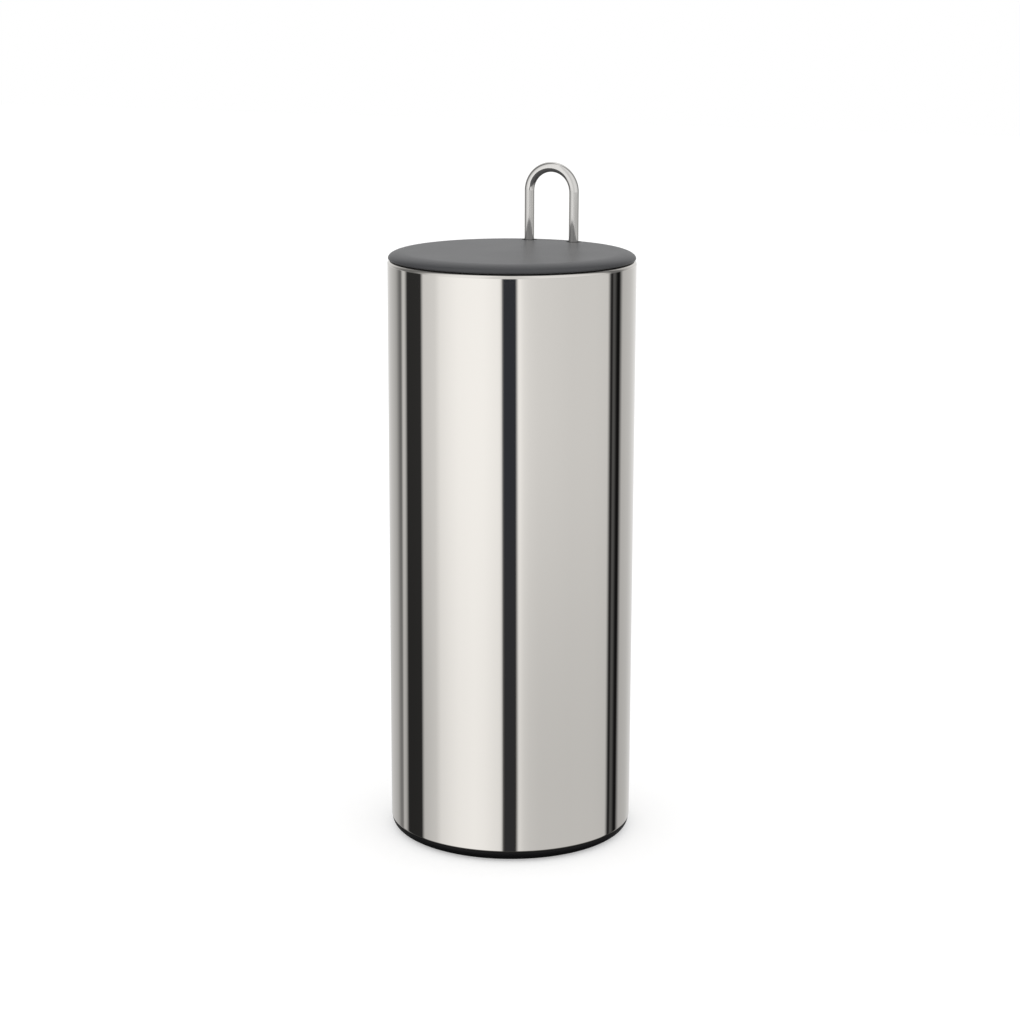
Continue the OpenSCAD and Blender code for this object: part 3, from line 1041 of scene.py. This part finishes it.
@dataclass
class Handle:
    """The rod: a half-round loop over two straight legs, grooved for the clips and tapped at its ends.

    Attributes:
        legs: where its legs stand.
        groove: the depth of the grooves.
        fit: the gap between a clip and its groove.
        flank: the height over which a groove deepens.
        tap: the radius and the depth of the tapped holes.
        chamfer: the size of the chamfer round each end.
        bend_steps: how many stretches the loop is cut into.
        sides: how many steps the rod's girth has.
    """

    legs: Legs
    groove: float = 0.5 * MM
    fit: float = 0.05 * MM
    flank: float = 0.01 * MM
    tap: tuple[float, float] = (1.5 * MM, 11.0 * MM)
    chamfer: float = 0.4 * MM
    bend_steps: int = 64
    sides: int = 48

    def groove_heights(self) -> list[float]:
        """Returns the heights at which the grooves' flanks start and end, from below."""
        clip_low, clip_high = (corner.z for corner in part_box("leg_clips"))
        low, high = clip_low - self.fit, clip_high + self.fit
        return [low - self.flank, low, high, high + self.flank]

    def radii(self, z: np.ndarray, end_z: float) -> np.ndarray:
        """Returns the rod's radius at each height of its legs and loop.

        Args:
            z: the heights.
            end_z: the height of the legs' ends.

        Returns:
            One radius for each height.
        """
        full, slim = self.legs.rod_r, self.legs.rod_r - self.groove
        heights = [end_z, end_z + self.chamfer, *self.groove_heights()]
        return np.interp(z, heights, [full - self.chamfer, full, full, slim, slim, full])

    def build(self) -> None:
        """Makes the rod."""
        low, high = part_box("handle_rod")
        x, loop_z = self.legs.x, high.z - self.legs.rod_r - self.legs.x
        marks = [low.z + self.chamfer, *self.groove_heights()]
        leg = np.sort(np.concatenate([np.linspace(low.z, loop_z, 12)[:-1], marks]))
        route = outline(
            np.stack([np.full(leg.size, x), leg], axis=1),
            arc((0.0, loop_z), x, 0, 180, self.bend_steps),
            np.stack([np.full(leg.size, -x), leg[::-1]], axis=1),
        )
        path = np.stack([route[:, 0], np.full(len(route), self.legs.y), route[:, 1]], axis=1)
        rod = round_rod(path, self.radii(route[:, 1], low.z), np.array([0.0, 1.0, 0.0]), self.sides)
        piece = make_object("handle_loop", rod)
        tap_r, tap_depth = self.tap
        start, end = low.z - OVERCUT, low.z + tap_depth
        hole = turned_solid([(0.0, start), (tap_r, start), (tap_r, end), (0.0, end + tap_r / 2)], 32)
        combine(piece, "DIFFERENCE", self.legs.at_both(hole))
        place_piece(piece, Body.CARRIER, ROD_FINISH, "handle_rod")


@dataclass(frozen=True)
class LidScrews:
    """Where the four screws between the liner and the lid stand, and what they pass.

    Attributes:
        circle_r: the distance of each screw from the axis.
        seat_z: the height of the undersides of their heads.
        shape: one of the screws.
        roof: the thickness that each head clamps.
        count: how many there are.
        start: the angle of the first, in degrees.
    """

    circle_r: float
    seat_z: float
    shape: Screw
    roof: float = 1.8 * MM
    count: int = 4
    start: float = 45.0

    @classmethod
    def from_frame(cls) -> "LidScrews":
        """Reads the screws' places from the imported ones, which stand at 45 degrees to the axes."""
        low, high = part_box("lid_screws")
        shape = Screw(7.0 * MM, 1.1 * MM)
        return cls((high.x - shape.head_r) * math.sqrt(2), low.z + shape.head_h, shape)

    def at_each(self, surface: Surface) -> Surface:
        """Returns a copy of a surface on the axis of each screw."""
        return surface.moved(self.circle_r).around(self.count, self.start)


@dataclass
class LidCover:
    """The lid's cover with its bosses and ribs, the bushes in its leg holes, and the clips under it.

    Attributes:
        nodes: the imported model's nodes, by name.
        legs: where the handle's legs stand.
        screws: where the liner's screws stand.
        shoulder: the width of the rounded shoulder.
        land: the radius of the rounding below it, down to the seat.
        wall: the thickness of the cover.
        seat_drop: the distance from the flat top down to the seat on the rim.
        boss_r: the radius of the screws' bosses.
        pilot: the radius and the length of the screws' holes.
        clip_reach: how far a leg's boss reaches past the rod.
        ribs: how many ribs there are.
        rib: the thickness and the height of a rib.
        hub_r: the radius of the hub that they meet at.
        barrel_r: how far a bush's barrel reaches past the rod.
        flange_t: the thickness of its flange.
        slide: the gap round a leg.
        fit: the gap round a bush.
        bore: how far a leg's hole is cut below its bush.
        soft: the size of the smallest roundings and chamfers.
        sides: how many steps the full turn has.
    """

    nodes: Mapping[str, bpy.types.Object]
    legs: Legs
    screws: LidScrews
    shoulder: float = 10.0 * MM
    land: float = 0.8 * MM
    wall: float = 2.2 * MM
    seat_drop: float = 4.7 * MM
    boss_r: float = 3.5 * MM
    pilot: tuple[float, float] = (1.5 * MM, 7.6 * MM)
    clip_reach: float = 2.0 * MM
    ribs: int = 12
    rib: tuple[float, float] = (1.4 * MM, 3.0 * MM)
    hub_r: float = 9.0 * MM
    barrel_r: float = 0.85 * MM
    flange_t: float = 0.6 * MM
    slide: float = 0.2 * MM
    fit: float = 0.05 * MM
    bore: float = 6.0 * MM
    soft: float = 0.15 * MM
    sides: int = 256

    def section(self, outer: float, top: float, plug_r: float) -> np.ndarray:
        """Returns the cover's outline, from the middle of its underside out to the seat and over the top.

        Args:
            outer: the cover's radius.
            top: the height of its flat top.
            plug_r: the radius of the liner in it.

        Returns:
            One row of r, z for each point.
        """
        seat = top - self.seat_drop
        shoulder_z = seat + self.land
        return outline(
            (0.0, top - self.wall),
            (plug_r + self.fit, top - self.wall),
            (plug_r + self.fit, seat),
            arc((outer - self.land, shoulder_z), self.land, -90, 0, 10)[:-1],
            arc((outer - self.shoulder, shoulder_z), (self.shoulder, top - shoulder_z), 0, 90, 32),
            (0.0, top),
        )

    def inner_parts(self, under_z: float) -> tuple[Surface, Surface]:
        """Returns what stands under the cover, as solids to add.

        Args:
            under_z: the height of the cover's underside.

        Returns:
            The ribs, and the hub with the bosses.
        """
        deep, cup_top = under_z + self.wall / 2, self.screws.seat_z + self.screws.roof
        clip_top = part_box("leg_clips")[1].z + self.fit
        thick, high = self.rib
        boss = disc(self.boss_r, cup_top, deep, 40)
        leg_boss = disc(self.legs.rod_r + self.clip_reach, clip_top, deep, 56)
        spoke = bar(self.hub_r - thick / 2, self.screws.circle_r, thick, under_z - high, deep)
        spokes = spoke.around(self.ribs)
        hub = ring(self.hub_r, self.hub_r - thick, under_z - high, deep, 72)
        return spokes, hub.joined(self.screws.at_each(boss), self.legs.at_both(leg_boss))

    def holes(self, top: float) -> Surface:
        """Returns the screws' holes and the stepped holes of the legs and bushes, as solids to cut away.

        Args:
            top: the height of the cover's flat top.

        Returns:
            The solids as one surface.
        """
        bush_low, bush_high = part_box("leg_bushes")
        pilot_r, pilot_l = self.pilot
        start, end = self.screws.seat_z, self.screws.seat_z + pilot_l
        pilot = [(0.0, start), (pilot_r, start), (pilot_r, end), (0.0, end + pilot_r / 2)]
        leg_r = self.legs.rod_r + self.slide
        barrel_r = self.legs.rod_r + self.barrel_r + self.fit
        flange_r = bush_high.y - self.legs.y + self.fit
        barrel_z, flange_z = bush_low.z - self.fit, bush_high.z - self.flange_t - self.fit
        hole = [
            (0.0, barrel_z - self.bore),
            (leg_r, barrel_z - self.bore),
            (leg_r, barrel_z),
            (barrel_r, barrel_z),
            (barrel_r, flange_z),
            (flange_r, flange_z),
            (flange_r, top - self.soft),
            (flange_r + 2 * self.soft, top + self.soft),
            (0.0, top + self.soft),
        ]
        screw_holes = self.screws.at_each(turned_solid(pilot, 32))
        return screw_holes.joined(self.legs.at_both(turned_solid(hole, 64)))

    def bush(self) -> Surface:
        """Returns one bush: a barrel with a rounded flange at its top."""
        low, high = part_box("leg_bushes")
        inner_r = self.legs.rod_r + self.fit
        barrel_r = self.legs.rod_r + self.barrel_r
        flange_r = high.y - self.legs.y
        flange_z = high.z - self.flange_t
        corners = [
            (inner_r, low.z),
            (barrel_r, low.z),
            (barrel_r, flange_z),
            (flange_r, flange_z),
            (flange_r, high.z),
            (inner_r, high.z),
        ]
        soft = self.soft
        return revolve(rounded(corners, [soft, soft, 0, soft, 2 * soft, soft]), 64)

    def build(self) -> None:
        """Makes the cover and the bushes, and dresses the clips."""
        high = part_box("lid_cover")[1]
        plug_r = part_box("lid_liner")[1].x
        cover = make_object("lid_skin", revolve(self.section(high.x, high.z, plug_r), self.sides, False))
        combine(cover, "UNION", *self.inner_parts(high.z - self.wall))
        combine(cover, "DIFFERENCE", self.holes(high.z))
        place_piece(cover, Body.CARRIER, LID_FINISH, "lid_cover")
        bushes = make_object("bush_pair", self.legs.at_both(self.bush()))
        place_piece(bushes, Body.CARRIER, RUBBER_FINISH, "leg_bushes")
        dress_piece(self.nodes["leg_clips"], FASTENER_FINISH)


@dataclass
class LidLiner:
    """The shallow pan that plugs the sleeve's mouth, with the screws that hold it to the cover.

    Attributes:
        legs: where the handle's legs stand.
        screws: where the screws stand.
        wall: the thickness of the pan's wall.
        floor: the thickness of its floor.
        foot: the radius of the rounding round its foot.
        cup: the outer and inner radius of the cups round the screws' heads.
        hole_r: the radius of the screws' holes.
        bore: how far a screw's hole is cut above its head.
        slide: the gap round a leg.
        fit: the gap between the cups and the cover's bosses.
        edge: the radius of its small roundings.
        sides: how many steps the full turn has.
    """

    legs: Legs
    screws: LidScrews
    wall: float = 1.8 * MM
    floor: float = 2.0 * MM
    foot: float = 1.5 * MM
    cup: tuple[float, float] = (4.1 * MM, 2.9 * MM)
    hole_r: float = 1.65 * MM
    bore: float = 3.0 * MM
    slide: float = 0.2 * MM
    fit: float = 0.05 * MM
    edge: float = 0.3 * MM
    sides: int = 256

    def section(self, low: float, high: float, plug_r: float) -> np.ndarray:
        """Returns the pan's outline, from its underside's middle up its wall and back over its floor.

        Args:
            low: the height of its underside.
            high: the height of its wall's top.
            plug_r: its radius.

        Returns:
            One row of r, z for each point.
        """
        inner_r, face = plug_r - self.wall, low + self.floor
        return outline(
            (0.0, low),
            arc((plug_r - self.foot, low + self.foot), self.foot, -90, 0, 8),
            arc((plug_r - self.edge, high - self.edge), self.edge, 0, 90, 3),
            arc((inner_r + self.edge, high - self.edge), self.edge, 90, 180, 3),
            (inner_r, face),
            (0.0, face),
        )

    def holes(self, low: float) -> Surface:
        """Returns the holes for the screws, their heads and the legs, as solids to cut away.

        Args:
            low: the height of the pan's underside.

        Returns:
            The solids as one surface.
        """
        cup_r, seat_z, edge = self.cup[1], self.screws.seat_z, self.edge
        screw_hole = [
            (0.0, low - edge),
            (cup_r + 2 * edge, low - edge),
            (cup_r, low + edge),
            (cup_r, seat_z),
            (self.hole_r, seat_z),
            (self.hole_r, seat_z + self.bore),
            (0.0, seat_z + self.bore),
        ]
        leg_r = self.legs.rod_r + self.slide
        leg_hole = [
            (0.0, low - edge),
            (leg_r + 2 * edge, low - edge),
            (leg_r, low + edge),
            (leg_r, low + self.floor + OVERCUT),
            (0.0, low + self.floor + OVERCUT),
        ]
        screw_holes = self.screws.at_each(turned_solid(screw_hole, 40))
        return screw_holes.joined(self.legs.at_both(turned_solid(leg_hole, 56)))

    def build(self) -> None:
        """Makes the liner and its screws."""
        low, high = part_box("lid_liner")
        pan = make_object("liner_pan", revolve(self.section(low.z, high.z, high.x), self.sides, False))
        cup_top = self.screws.seat_z + self.screws.roof - self.fit
        cup = disc(self.cup[0], low.z + self.floor / 2, cup_top, 56)
        combine(pan, "UNION", self.screws.at_each(cup))
        combine(pan, "DIFFERENCE", self.holes(low.z))
        place_piece(pan, Body.CARRIER, INNER_FINISH, "lid_liner")
        shape = self.screws.shape.surface().moved(z=self.screws.seat_z)
        screws = make_object("liner_screws", self.screws.at_each(shape), SCREW_SHARP_FROM)
        place_piece(screws, Body.CARRIER, FASTENER_FINISH, "lid_screws")


@dataclass
class Platter:
    """The plate that the rolls stand on, with its pads and the screws that hold it on the legs.

    Attributes:
        legs: where the handle's legs stand.
        wall: the thickness of its skin and skirt.
        height: the height from its underside to its face.
        rim: the height of the rim round the face.
        soft: the radius of the rim's roundings.
        edge: the radius of the smaller roundings.
        ribs: how many ribs there are under it.
        rib: the thickness of a rib.
        rib_lift: the distance from the underside up to the ribs.
        hub_r: the radius of the hub that they meet at.
        socket_wall: the thickness of a socket's wall.
        socket_floor: the thickness of the floor that a leg stands on.
        head_recess: how deep a screw's head lies in it.
        slide: the gap round a screw.
        fit: the gap round a leg or a pad.
        pad: the radius of a pad and the depth of its recess.
        pad_count: how many pads there are.
        pad_start: the angle of the first, in degrees.
        sides: how many steps the full turn has.
    """

    legs: Legs
    wall: float = 2.0 * MM
    height: float = 12.0 * MM
    rim: float = 2.5 * MM
    soft: float = 0.7 * MM
    edge: float = 0.35 * MM
    ribs: int = 12
    rib: float = 1.4 * MM
    rib_lift: float = 3.0 * MM
    hub_r: float = 12.0 * MM
    socket_wall: float = 2.4 * MM
    socket_floor: float = 2.5 * MM
    head_recess: float = 1.0 * MM
    slide: float = 0.2 * MM
    fit: float = 0.05 * MM
    pad: tuple[float, float] = (5.0 * MM, 1.0 * MM)
    pad_count: int = 4
    pad_start: float = 45.0
    sides: int = 256

    def section(self, outer: float, low: float) -> np.ndarray:
        """Returns the plate's outline, from its underside's middle round the skirt and over the face.

        Args:
            outer: the plate's radius.
            low: the height of its underside.

        Returns:
            One row of r, z for each point.
        """
        inner, face = outer - self.wall, low + self.height
        skin, top, soft, edge = face - self.wall, face + self.rim, self.soft, self.edge
        return outline(
            (0.0, skin),
            arc((inner - edge, skin - edge), edge, 90, 0, 3),
            arc((inner + edge, low + edge), edge, 180, 270, 3),
            arc((outer - edge, low + edge), edge, -90, 0, 3),
            arc((outer - soft, top - soft), soft, 0, 90, 5),
            arc((inner + soft, top - soft), soft, 90, 180, 5),
            arc((inner - soft, face + soft), soft, 0, -90, 5),
            (0.0, face),
        )

    def inner_parts(self, outer: float, low: float, high: float, pad_x: float) -> tuple[Surface, Surface]:
        """Returns what stands under the plate, and the leg sockets, as solids to add.

        Args:
            outer: the plate's radius.
            low: the height of its underside.
            high: the height of the sockets' tops.
            pad_x: the distance of each pad's middle from the axis.

        Returns:
            The ribs, and the hub with the sockets and the pads' bosses.
        """
        rib_z, deep = low + self.rib_lift, low + self.height - self.wall / 2
        spoke = bar(self.hub_r - self.rib / 2, outer - self.wall / 2, self.rib, rib_z, deep)
        spokes = spoke.around(self.ribs)
        hub = ring(self.hub_r, self.hub_r - self.rib, rib_z, deep, 96)
        boss_r = self.pad[0] + self.rib
        boss = [(0.0, low), (boss_r, low), (boss_r, deep), (0.0, deep)]
        socket_r = self.legs.rod_r + self.fit + self.socket_wall
        corners = [(0.0, low), (socket_r, low), (socket_r, high), (0.0, high)]
        socket = revolve(rounded(corners, [0, self.edge, self.soft, 0], 4), 72, False)
        pad_boss = revolve(rounded(boss, [0, self.edge, 0, 0], 3), 64, False)
        return spokes, hub.joined(self.at_pads(pad_boss, pad_x), self.legs.at_both(socket))

    def at_pads(self, surface: Surface, pad_x: float) -> Surface:
        """Returns a copy of a surface on the axis of each pad, at a distance of pad_x."""
        return surface.moved(pad_x).around(self.pad_count, self.pad_start)

    def holes(self, low: float, high: float, pad_x: float, head: Screw) -> Surface:
        """Returns the pads' recesses and the stepped holes of legs and screws, as solids to cut away.

        Args:
            low: the height of the plate's underside.
            high: the height of the sockets' tops.
            pad_x: the distance of each pad's middle from the axis.
            head: the shape of the screws.

        Returns:
            The solids as one surface.
        """
        pad_r, recess = self.pad[0] + self.fit, self.pad[1]
        pad_hole = disc(pad_r, low - OVERCUT, low + recess, 64)
        seat_z = low + head.head_h + self.head_recess
        leg_z, leg_r = seat_z + self.socket_floor, self.legs.rod_r + self.fit
        head_r, screw_r, lead = head.head_r + self.slide, head.crest_r + self.slide, self.edge
        hole = [
            (0.0, low - lead),
            (head_r + 2 * lead, low - lead),
            (head_r, low + lead),
            (head_r, seat_z),
            (screw_r, seat_z),
            (screw_r, leg_z),
            (leg_r, leg_z),
            (leg_r, high - lead),
            (leg_r + 2 * lead, high + lead),
            (0.0, high + lead),
        ]
        return self.at_pads(pad_hole, pad_x).joined(self.legs.at_both(turned_solid(hole, 64)))

    def build(self) -> None:
        """Makes the platter, its pads and its screws."""
        low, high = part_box("platter")
        pad_low, pad_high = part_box("platter_pads")
        pad_x = (pad_high.x - self.pad[0]) * math.sqrt(2)
        head = Screw(11.0 * MM, 0.5 * MM, core_r=1.2 * MM)
        plate = make_object("platter_plate", revolve(self.section(high.x, low.z), self.sides, False))
        combine(plate, "UNION", *self.inner_parts(high.x, low.z, high.z, pad_x))
        combine(plate, "DIFFERENCE", self.holes(low.z, high.z, pad_x, head))
        place_piece(plate, Body.CARRIER, INNER_FINISH, "platter")
        pad = disc(self.pad[0], pad_low.z, pad_high.z, 64, self.edge)
        pads = make_object("pad_set", self.at_pads(pad, pad_x))
        place_piece(pads, Body.CARRIER, RUBBER_FINISH, "platter_pads")
        screw = head.surface().moved(z=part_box("leg_screws")[0].z + head.head_h)
        screws = make_object("socket_screws", self.legs.at_both(screw), SCREW_SHARP_FROM)
        place_piece(screws, Body.CARRIER, FASTENER_FINISH, "leg_screws")


# The studio


@dataclass(frozen=True)
class Card:
    """A stretch of the studio's wall that the steel mirrors.

    Attributes:
        start: the direction in which it starts, in degrees to the right of the camera's direction, as seen
            from the object.
        end: the direction in which it ends.
        start_grey: how bright it is at its start, in linear light.
        end_grey: how bright it is at its end.
        tint: what its red, green and blue are multiplied by.
    """

    start: float
    end: float
    start_grey: float
    end_grey: float
    tint: tuple[float, float, float] = (1.0, 1.0, 1.0)


COOL = (0.9, 0.98, 1.2)
CARDS = (
    Card(-180, -170, 0.93, 0.86),
    Card(-162, -156, 0.72, 0.63),
    Card(-150, -144, 0.57, 0.51),
    Card(-139, -134, 0.46, 0.38),
    Card(-127, -123.9, 0.15, 0.14),
    Card(-120.2, -117, 0.56, 0.53),
    Card(-112.4, -92.6, 0.025, 0.027),
    Card(-89.2, -75, 0.63, 0.69),
    Card(-69, -60, 0.84, 0.91),
    Card(-50, -37, 0.97, 0.99),
    Card(-26, -13, 0.99, 0.93),
    Card(-11.2, -10.2, 0.9, 0.88),
    Card(-8.2, 3.1, 0.034, 0.034, COOL),
    Card(5.8, 6.6, 0.91, 0.92),
    Card(8.5, 11, 0.86, 0.79),
    Card(16, 24, 0.735, 0.7),
    Card(56, 81, 0.655, 0.65),
    Card(95, 98.8, 0.63, 0.62),
    Card(103.1, 105.2, 0.01, 0.012),
    Card(107.3, 109.2, 0.09, 0.08),
    Card(113, 117.4, 0.006, 0.006),
    Card(123.4, 140, 0.48, 0.55),
    Card(150, 158, 0.66, 0.74),
    Card(168, 180, 0.86, 0.93),
)
# How bright the cards are at their foot, as a share of their brightness at the top, by direction: one share,
# or one each of red, green and blue.
FOOT_SHARE = (
    (-180, 0.82),
    (-160, 0.9),
    (-135, 1.0),
    (-128, 1.05),
    (-125, 1.35),
    (-119, 0.78),
    (-114, 0.8),
    (-88, 0.8),
    (-70, 0.9),
    (-35, 0.94),
    (-13, 0.87),
    (-8.6, 0.86),
    (-7.9, 0.95, 0.88, 0.77),
    (2.8, 0.95, 0.88, 0.77),
    (3.5, 0.81),
    (30, 0.82),
    (60, 0.86),
    (105, 0.86),
    (115, 1.3),
    (122, 0.9),
    (160, 0.88),
    (180, 0.82),
)
# The soft light above the cards, by direction.
UPPER_RING = (
    (-180, 0.7),
    (-145, 0.7),
    (-130, 0.45),
    (-121, 0.5),
    (-113, 0.17),
    (-97, 0.17),
    (-86, 0.5),
    (-50, 0.76),
    (-25, 0.76),
    (0, 0.64),
    (25, 0.5),
    (50, 0.44),
    (75, 0.48),
    (97, 0.55),
    (105, 0.15),
    (117, 0.13),
    (126, 0.45),
    (145, 0.78),
)
# The light above that, by direction.
CEILING = (
    (-180, 0.84),
    (-150, 0.64),
    (-132, 0.3),
    (-120, 0.16),
    (-103, 0.15),
    (-92, 0.3),
    (-82, 0.62),
    (-68, 0.78),
    (-55, 0.88),
    (-30, 0.88),
    (-18, 0.72),
    (0, 0.66),
    (12, 0.7),
    (28, 0.8),
    (60, 0.76),
    (85, 0.68),
    (94, 0.6),
    (104, 0.15),
    (117, 0.15),
    (128, 0.4),
    (150, 0.68),
    (180, 0.84),
)


@dataclass
class Studio:
    """The floor, the light and the camera.

    Attributes:
        camera_azimuth: how far the camera stands to the right of the canister's front, in degrees.
        camera_distance: its distance from the canister's axis.
        camera_height: its height above the floor.
        camera_pitch: how far it looks down, in degrees.
        camera_roll: how far it is tilted to the side, in degrees.
        camera_yaw: how far it looks to the left of the axis, in degrees.
        lens: its focal length, in millimetres.
        sensor: the width of its sensor, in millimetres.
        plain_light: the strength of the even light all round.
        floor_shade: how much of the floor's brightness in the picture comes from the light on it.
        floor_glow: how much of it is there even in the shade.
        floor_bounce: how white the floor is to everything but the camera.
        floor_half: half the length of the floor's sides.
        lean: by how much farther from the front the cards stand at their foot, as a share.
        skew: how much less that is for each turn to the right.
        shift: how far they are turned to the right there, in degrees.
        underside: the painted shade that the steel mirrors where it turns under, for the shaded floor.
        lean_ends: the heights, as the z of a direction, between which the cards come to lean.
        foot_ends: the heights between which the foot's share grows.
        ring_ends: the heights between which the cards give way to the ring above them.
        ceiling_ends: the heights between which that gives way to the light above it.
        under_ends: the heights between which the cards give way to the underside's painted shade.
    """

    camera_azimuth: float = 24.3
    camera_distance: float = 1.3873
    camera_height: float = 0.5131
    camera_pitch: float = 12.92
    camera_roll: float = 0.166
    camera_yaw: float = 0.031
    lens: float = 84.36
    sensor: float = 36.0
    plain_light: float = 1.0
    floor_shade: float = 0.7
    floor_glow: float = 0.41
    floor_bounce: float = 0.5
    floor_half: float = 6.0
    lean: float = 0.03
    skew: float = 0.026
    shift: float = 2.0
    # Painted shade: the dark grey that steel mirrors below, in place of the floor in the canister's shadow.
    underside: tuple[float, float, float] = (0.04, 0.04, 0.04)
    lean_ends: tuple[float, float] = (-0.12, -0.34)
    foot_ends: tuple[float, float] = (-0.17, -0.34)
    ring_ends: tuple[float, float] = (-0.119, -0.115)
    ceiling_ends: tuple[float, float] = (-0.085, -0.06)
    under_ends: tuple[float, float] = (-0.37, -0.62)

    def place_camera(self) -> None:
        """Puts the camera where the photograph was taken from."""
        data = bpy.data.cameras.new("camera")
        data.lens, data.sensor_width = self.lens, self.sensor
        camera = bpy.data.objects.new("camera", data)
        bpy.context.scene.collection.objects.link(camera)
        azimuth = math.radians(self.camera_azimuth)
        spot = Vector((math.sin(azimuth), -math.cos(azimuth), 0.0)) * self.camera_distance
        spot.z = self.camera_height
        turn = (
            Matrix.Rotation(azimuth + math.radians(self.camera_yaw), 4, "Z")
            @ Matrix.Rotation(math.radians(90 - self.camera_pitch), 4, "X")
            @ Matrix.Rotation(math.radians(self.camera_roll), 4, "Z")
        )
        camera.matrix_world = Matrix.Translation(spot) @ turn
        bpy.context.scene.camera = camera

    def lay_floor(self) -> None:
        """Lays the pale floor, which steel doesn't mirror."""
        half = self.floor_half
        corners = np.array([[-half, -half, 0], [half, -half, 0], [half, half, 0], [-half, half, 0]], float)
        floor = make_object("floor", Surface(corners, np.array([[0, 1, 2, 3]])))
        floor.data.materials.append(self.floor_material())
        floor.visible_glossy = False

    def floor_material(self) -> bpy.types.Material:
        """Returns a plain white material, in which the camera sees only the deeper part of a shadow."""
        made = bpy.data.materials.new("white_floor")
        made.use_nodes = True
        graph = Graph(made.node_tree)
        bounce, shade = (colour_input((share,) * 3) for share in (self.floor_bounce, self.floor_shade))
        plain = graph.node("ShaderNodeBsdfDiffuse", None, {"Color": bounce})
        faint = graph.node("ShaderNodeBsdfDiffuse", None, {"Color": shade})
        glow = graph.node("ShaderNodeEmission", None, {"Strength": self.floor_glow})
        seen = graph.node("ShaderNodeAddShader", None, {0: faint.outputs[0], 1: glow.outputs[0]})
        path = graph.node("ShaderNodeLightPath")
        inputs = {0: path.outputs["Is Camera Ray"], 1: plain.outputs[0], 2: seen.outputs[0]}
        mixed = graph.node("ShaderNodeMixShader", None, inputs)
        graph.node("ShaderNodeOutputMaterial", None, {"Surface": mixed.outputs[0]})
        return made

    @staticmethod
    def card_stops() -> list[tuple[float, tuple[float, float, float]]]:
        """Returns the cards as the stops of a ramp that runs once round from behind the object."""
        stops = []
        for card in CARDS:
            for angle, grey in ((card.start, card.start_grey), (card.end, card.end_grey)):
                stops.append(((angle + 180) / 360, tuple(grey * t for t in card.tint)))
        return stops

    @staticmethod
    def mark_stops(marks: Sequence[tuple[float, ...]]) -> list[tuple[float, tuple[float, ...]]]:
        """Returns marks, each a direction with a grey or a colour, as the stops of such a ramp."""
        return [((angle + 180) / 360, tuple(share) * (3 // len(share))) for angle, *share in marks]

    def mirrored_place(self, graph: Graph, x: Value, y: Value, z: Value) -> Value:
        """Returns where a direction meets the ring of cards, from 0 to 1 once round from behind the object.

        With a as the direction in turns to the right of the camera's and s growing from 0 at the cards' top
        to 1 at their foot, the place is 0.5 + (a - shift s) (1 - (lean - skew a) s).
        """
        azimuth = graph.math("ARCTAN2", x, y * -1.0)
        turns = graph.math("FRACT", azimuth * (1 / FULL_TURN) + (1.5 - self.camera_azimuth / 360)) - 0.5
        low = graph.rise(z, self.lean_ends)
        squeeze = low * (self.lean - turns * self.skew)
        return (turns - low * (self.shift / 360)) * (1.0 - squeeze) + 0.5

    def build_world(self) -> None:
        """Makes the light: white where the camera looks, plain for matt surfaces, and the cards for gloss."""
        world = bpy.data.worlds.new("studio")
        bpy.context.scene.world = world
        world.use_nodes = True
        graph = Graph(world.node_tree)
        direction = graph.value(graph.node("ShaderNodeTexCoord"), "Generated")
        axes = graph.node("ShaderNodeSeparateXYZ", None, {0: direction})
        x, y, z = (graph.value(axes, k) for k in range(3))
        place = self.mirrored_place(graph, x, y, z)
        stops = self.card_stops()
        half = len(stops) // 2
        seam = (stops[half - 1][0] + stops[half][0]) / 2
        first, second = (graph.ramp(place, part) for part in (stops[: half + 1], stops[half - 1 :]))
        cards = graph.mix(graph.math("GREATER_THAN", place, seam), first, second)
        share, ring_light, ceiling = (
            graph.ramp(place, self.mark_stops(marks)) for marks in (FOOT_SHARE, UPPER_RING, CEILING)
        )
        dimmed = graph.mix(graph.rise(z, self.foot_ends, "SMOOTHSTEP"), cards, share, "MULTIPLY")
        walls = graph.mix(graph.rise(z, self.ring_ends), dimmed, ring_light)
        # The cards fade downwards to painted shade, in place of the floor in the canister's shadow.
        lower = graph.mix(graph.rise(z, self.under_ends), walls, self.underside)
        mirrored = graph.mix(graph.rise(z, self.ceiling_ends), lower, ceiling)
        path = graph.node("ShaderNodeLightPath")
        plain = (self.plain_light,) * 3
        lit = graph.mix(graph.value(path, "Is Glossy Ray"), plain, mirrored)
        seen = graph.mix(graph.value(path, "Is Camera Ray"), lit, (1.0, 1.0, 1.0))
        background = graph.node("ShaderNodeBackground", None, {"Color": seen, "Strength": 1.0})
        graph.node("ShaderNodeOutputWorld", None, {"Surface": background.outputs[0]})

    def build(self) -> None:
        """Sets the stage."""
        bpy.context.scene.view_settings.view_transform = "Standard"
        self.place_camera()
        self.lay_floor()
        self.build_world()


def main() -> None:
    """Loads the frame, builds each sub-assembly and sets the stage."""
    logging.basicConfig(level=logging.INFO, format="%(name)s: %(message)s")
    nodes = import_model()["nodes"]
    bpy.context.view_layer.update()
    legs = Legs.from_frame()
    screws = LidScrews.from_frame()
    Studio().build()
    Sleeve().build()
    Base().build()
    Handle(legs).build()
    LidCover(nodes, legs, screws).build()
    LidLiner(legs, screws).build()
    Platter(legs).build()


if __name__ == "__main__":
    main()
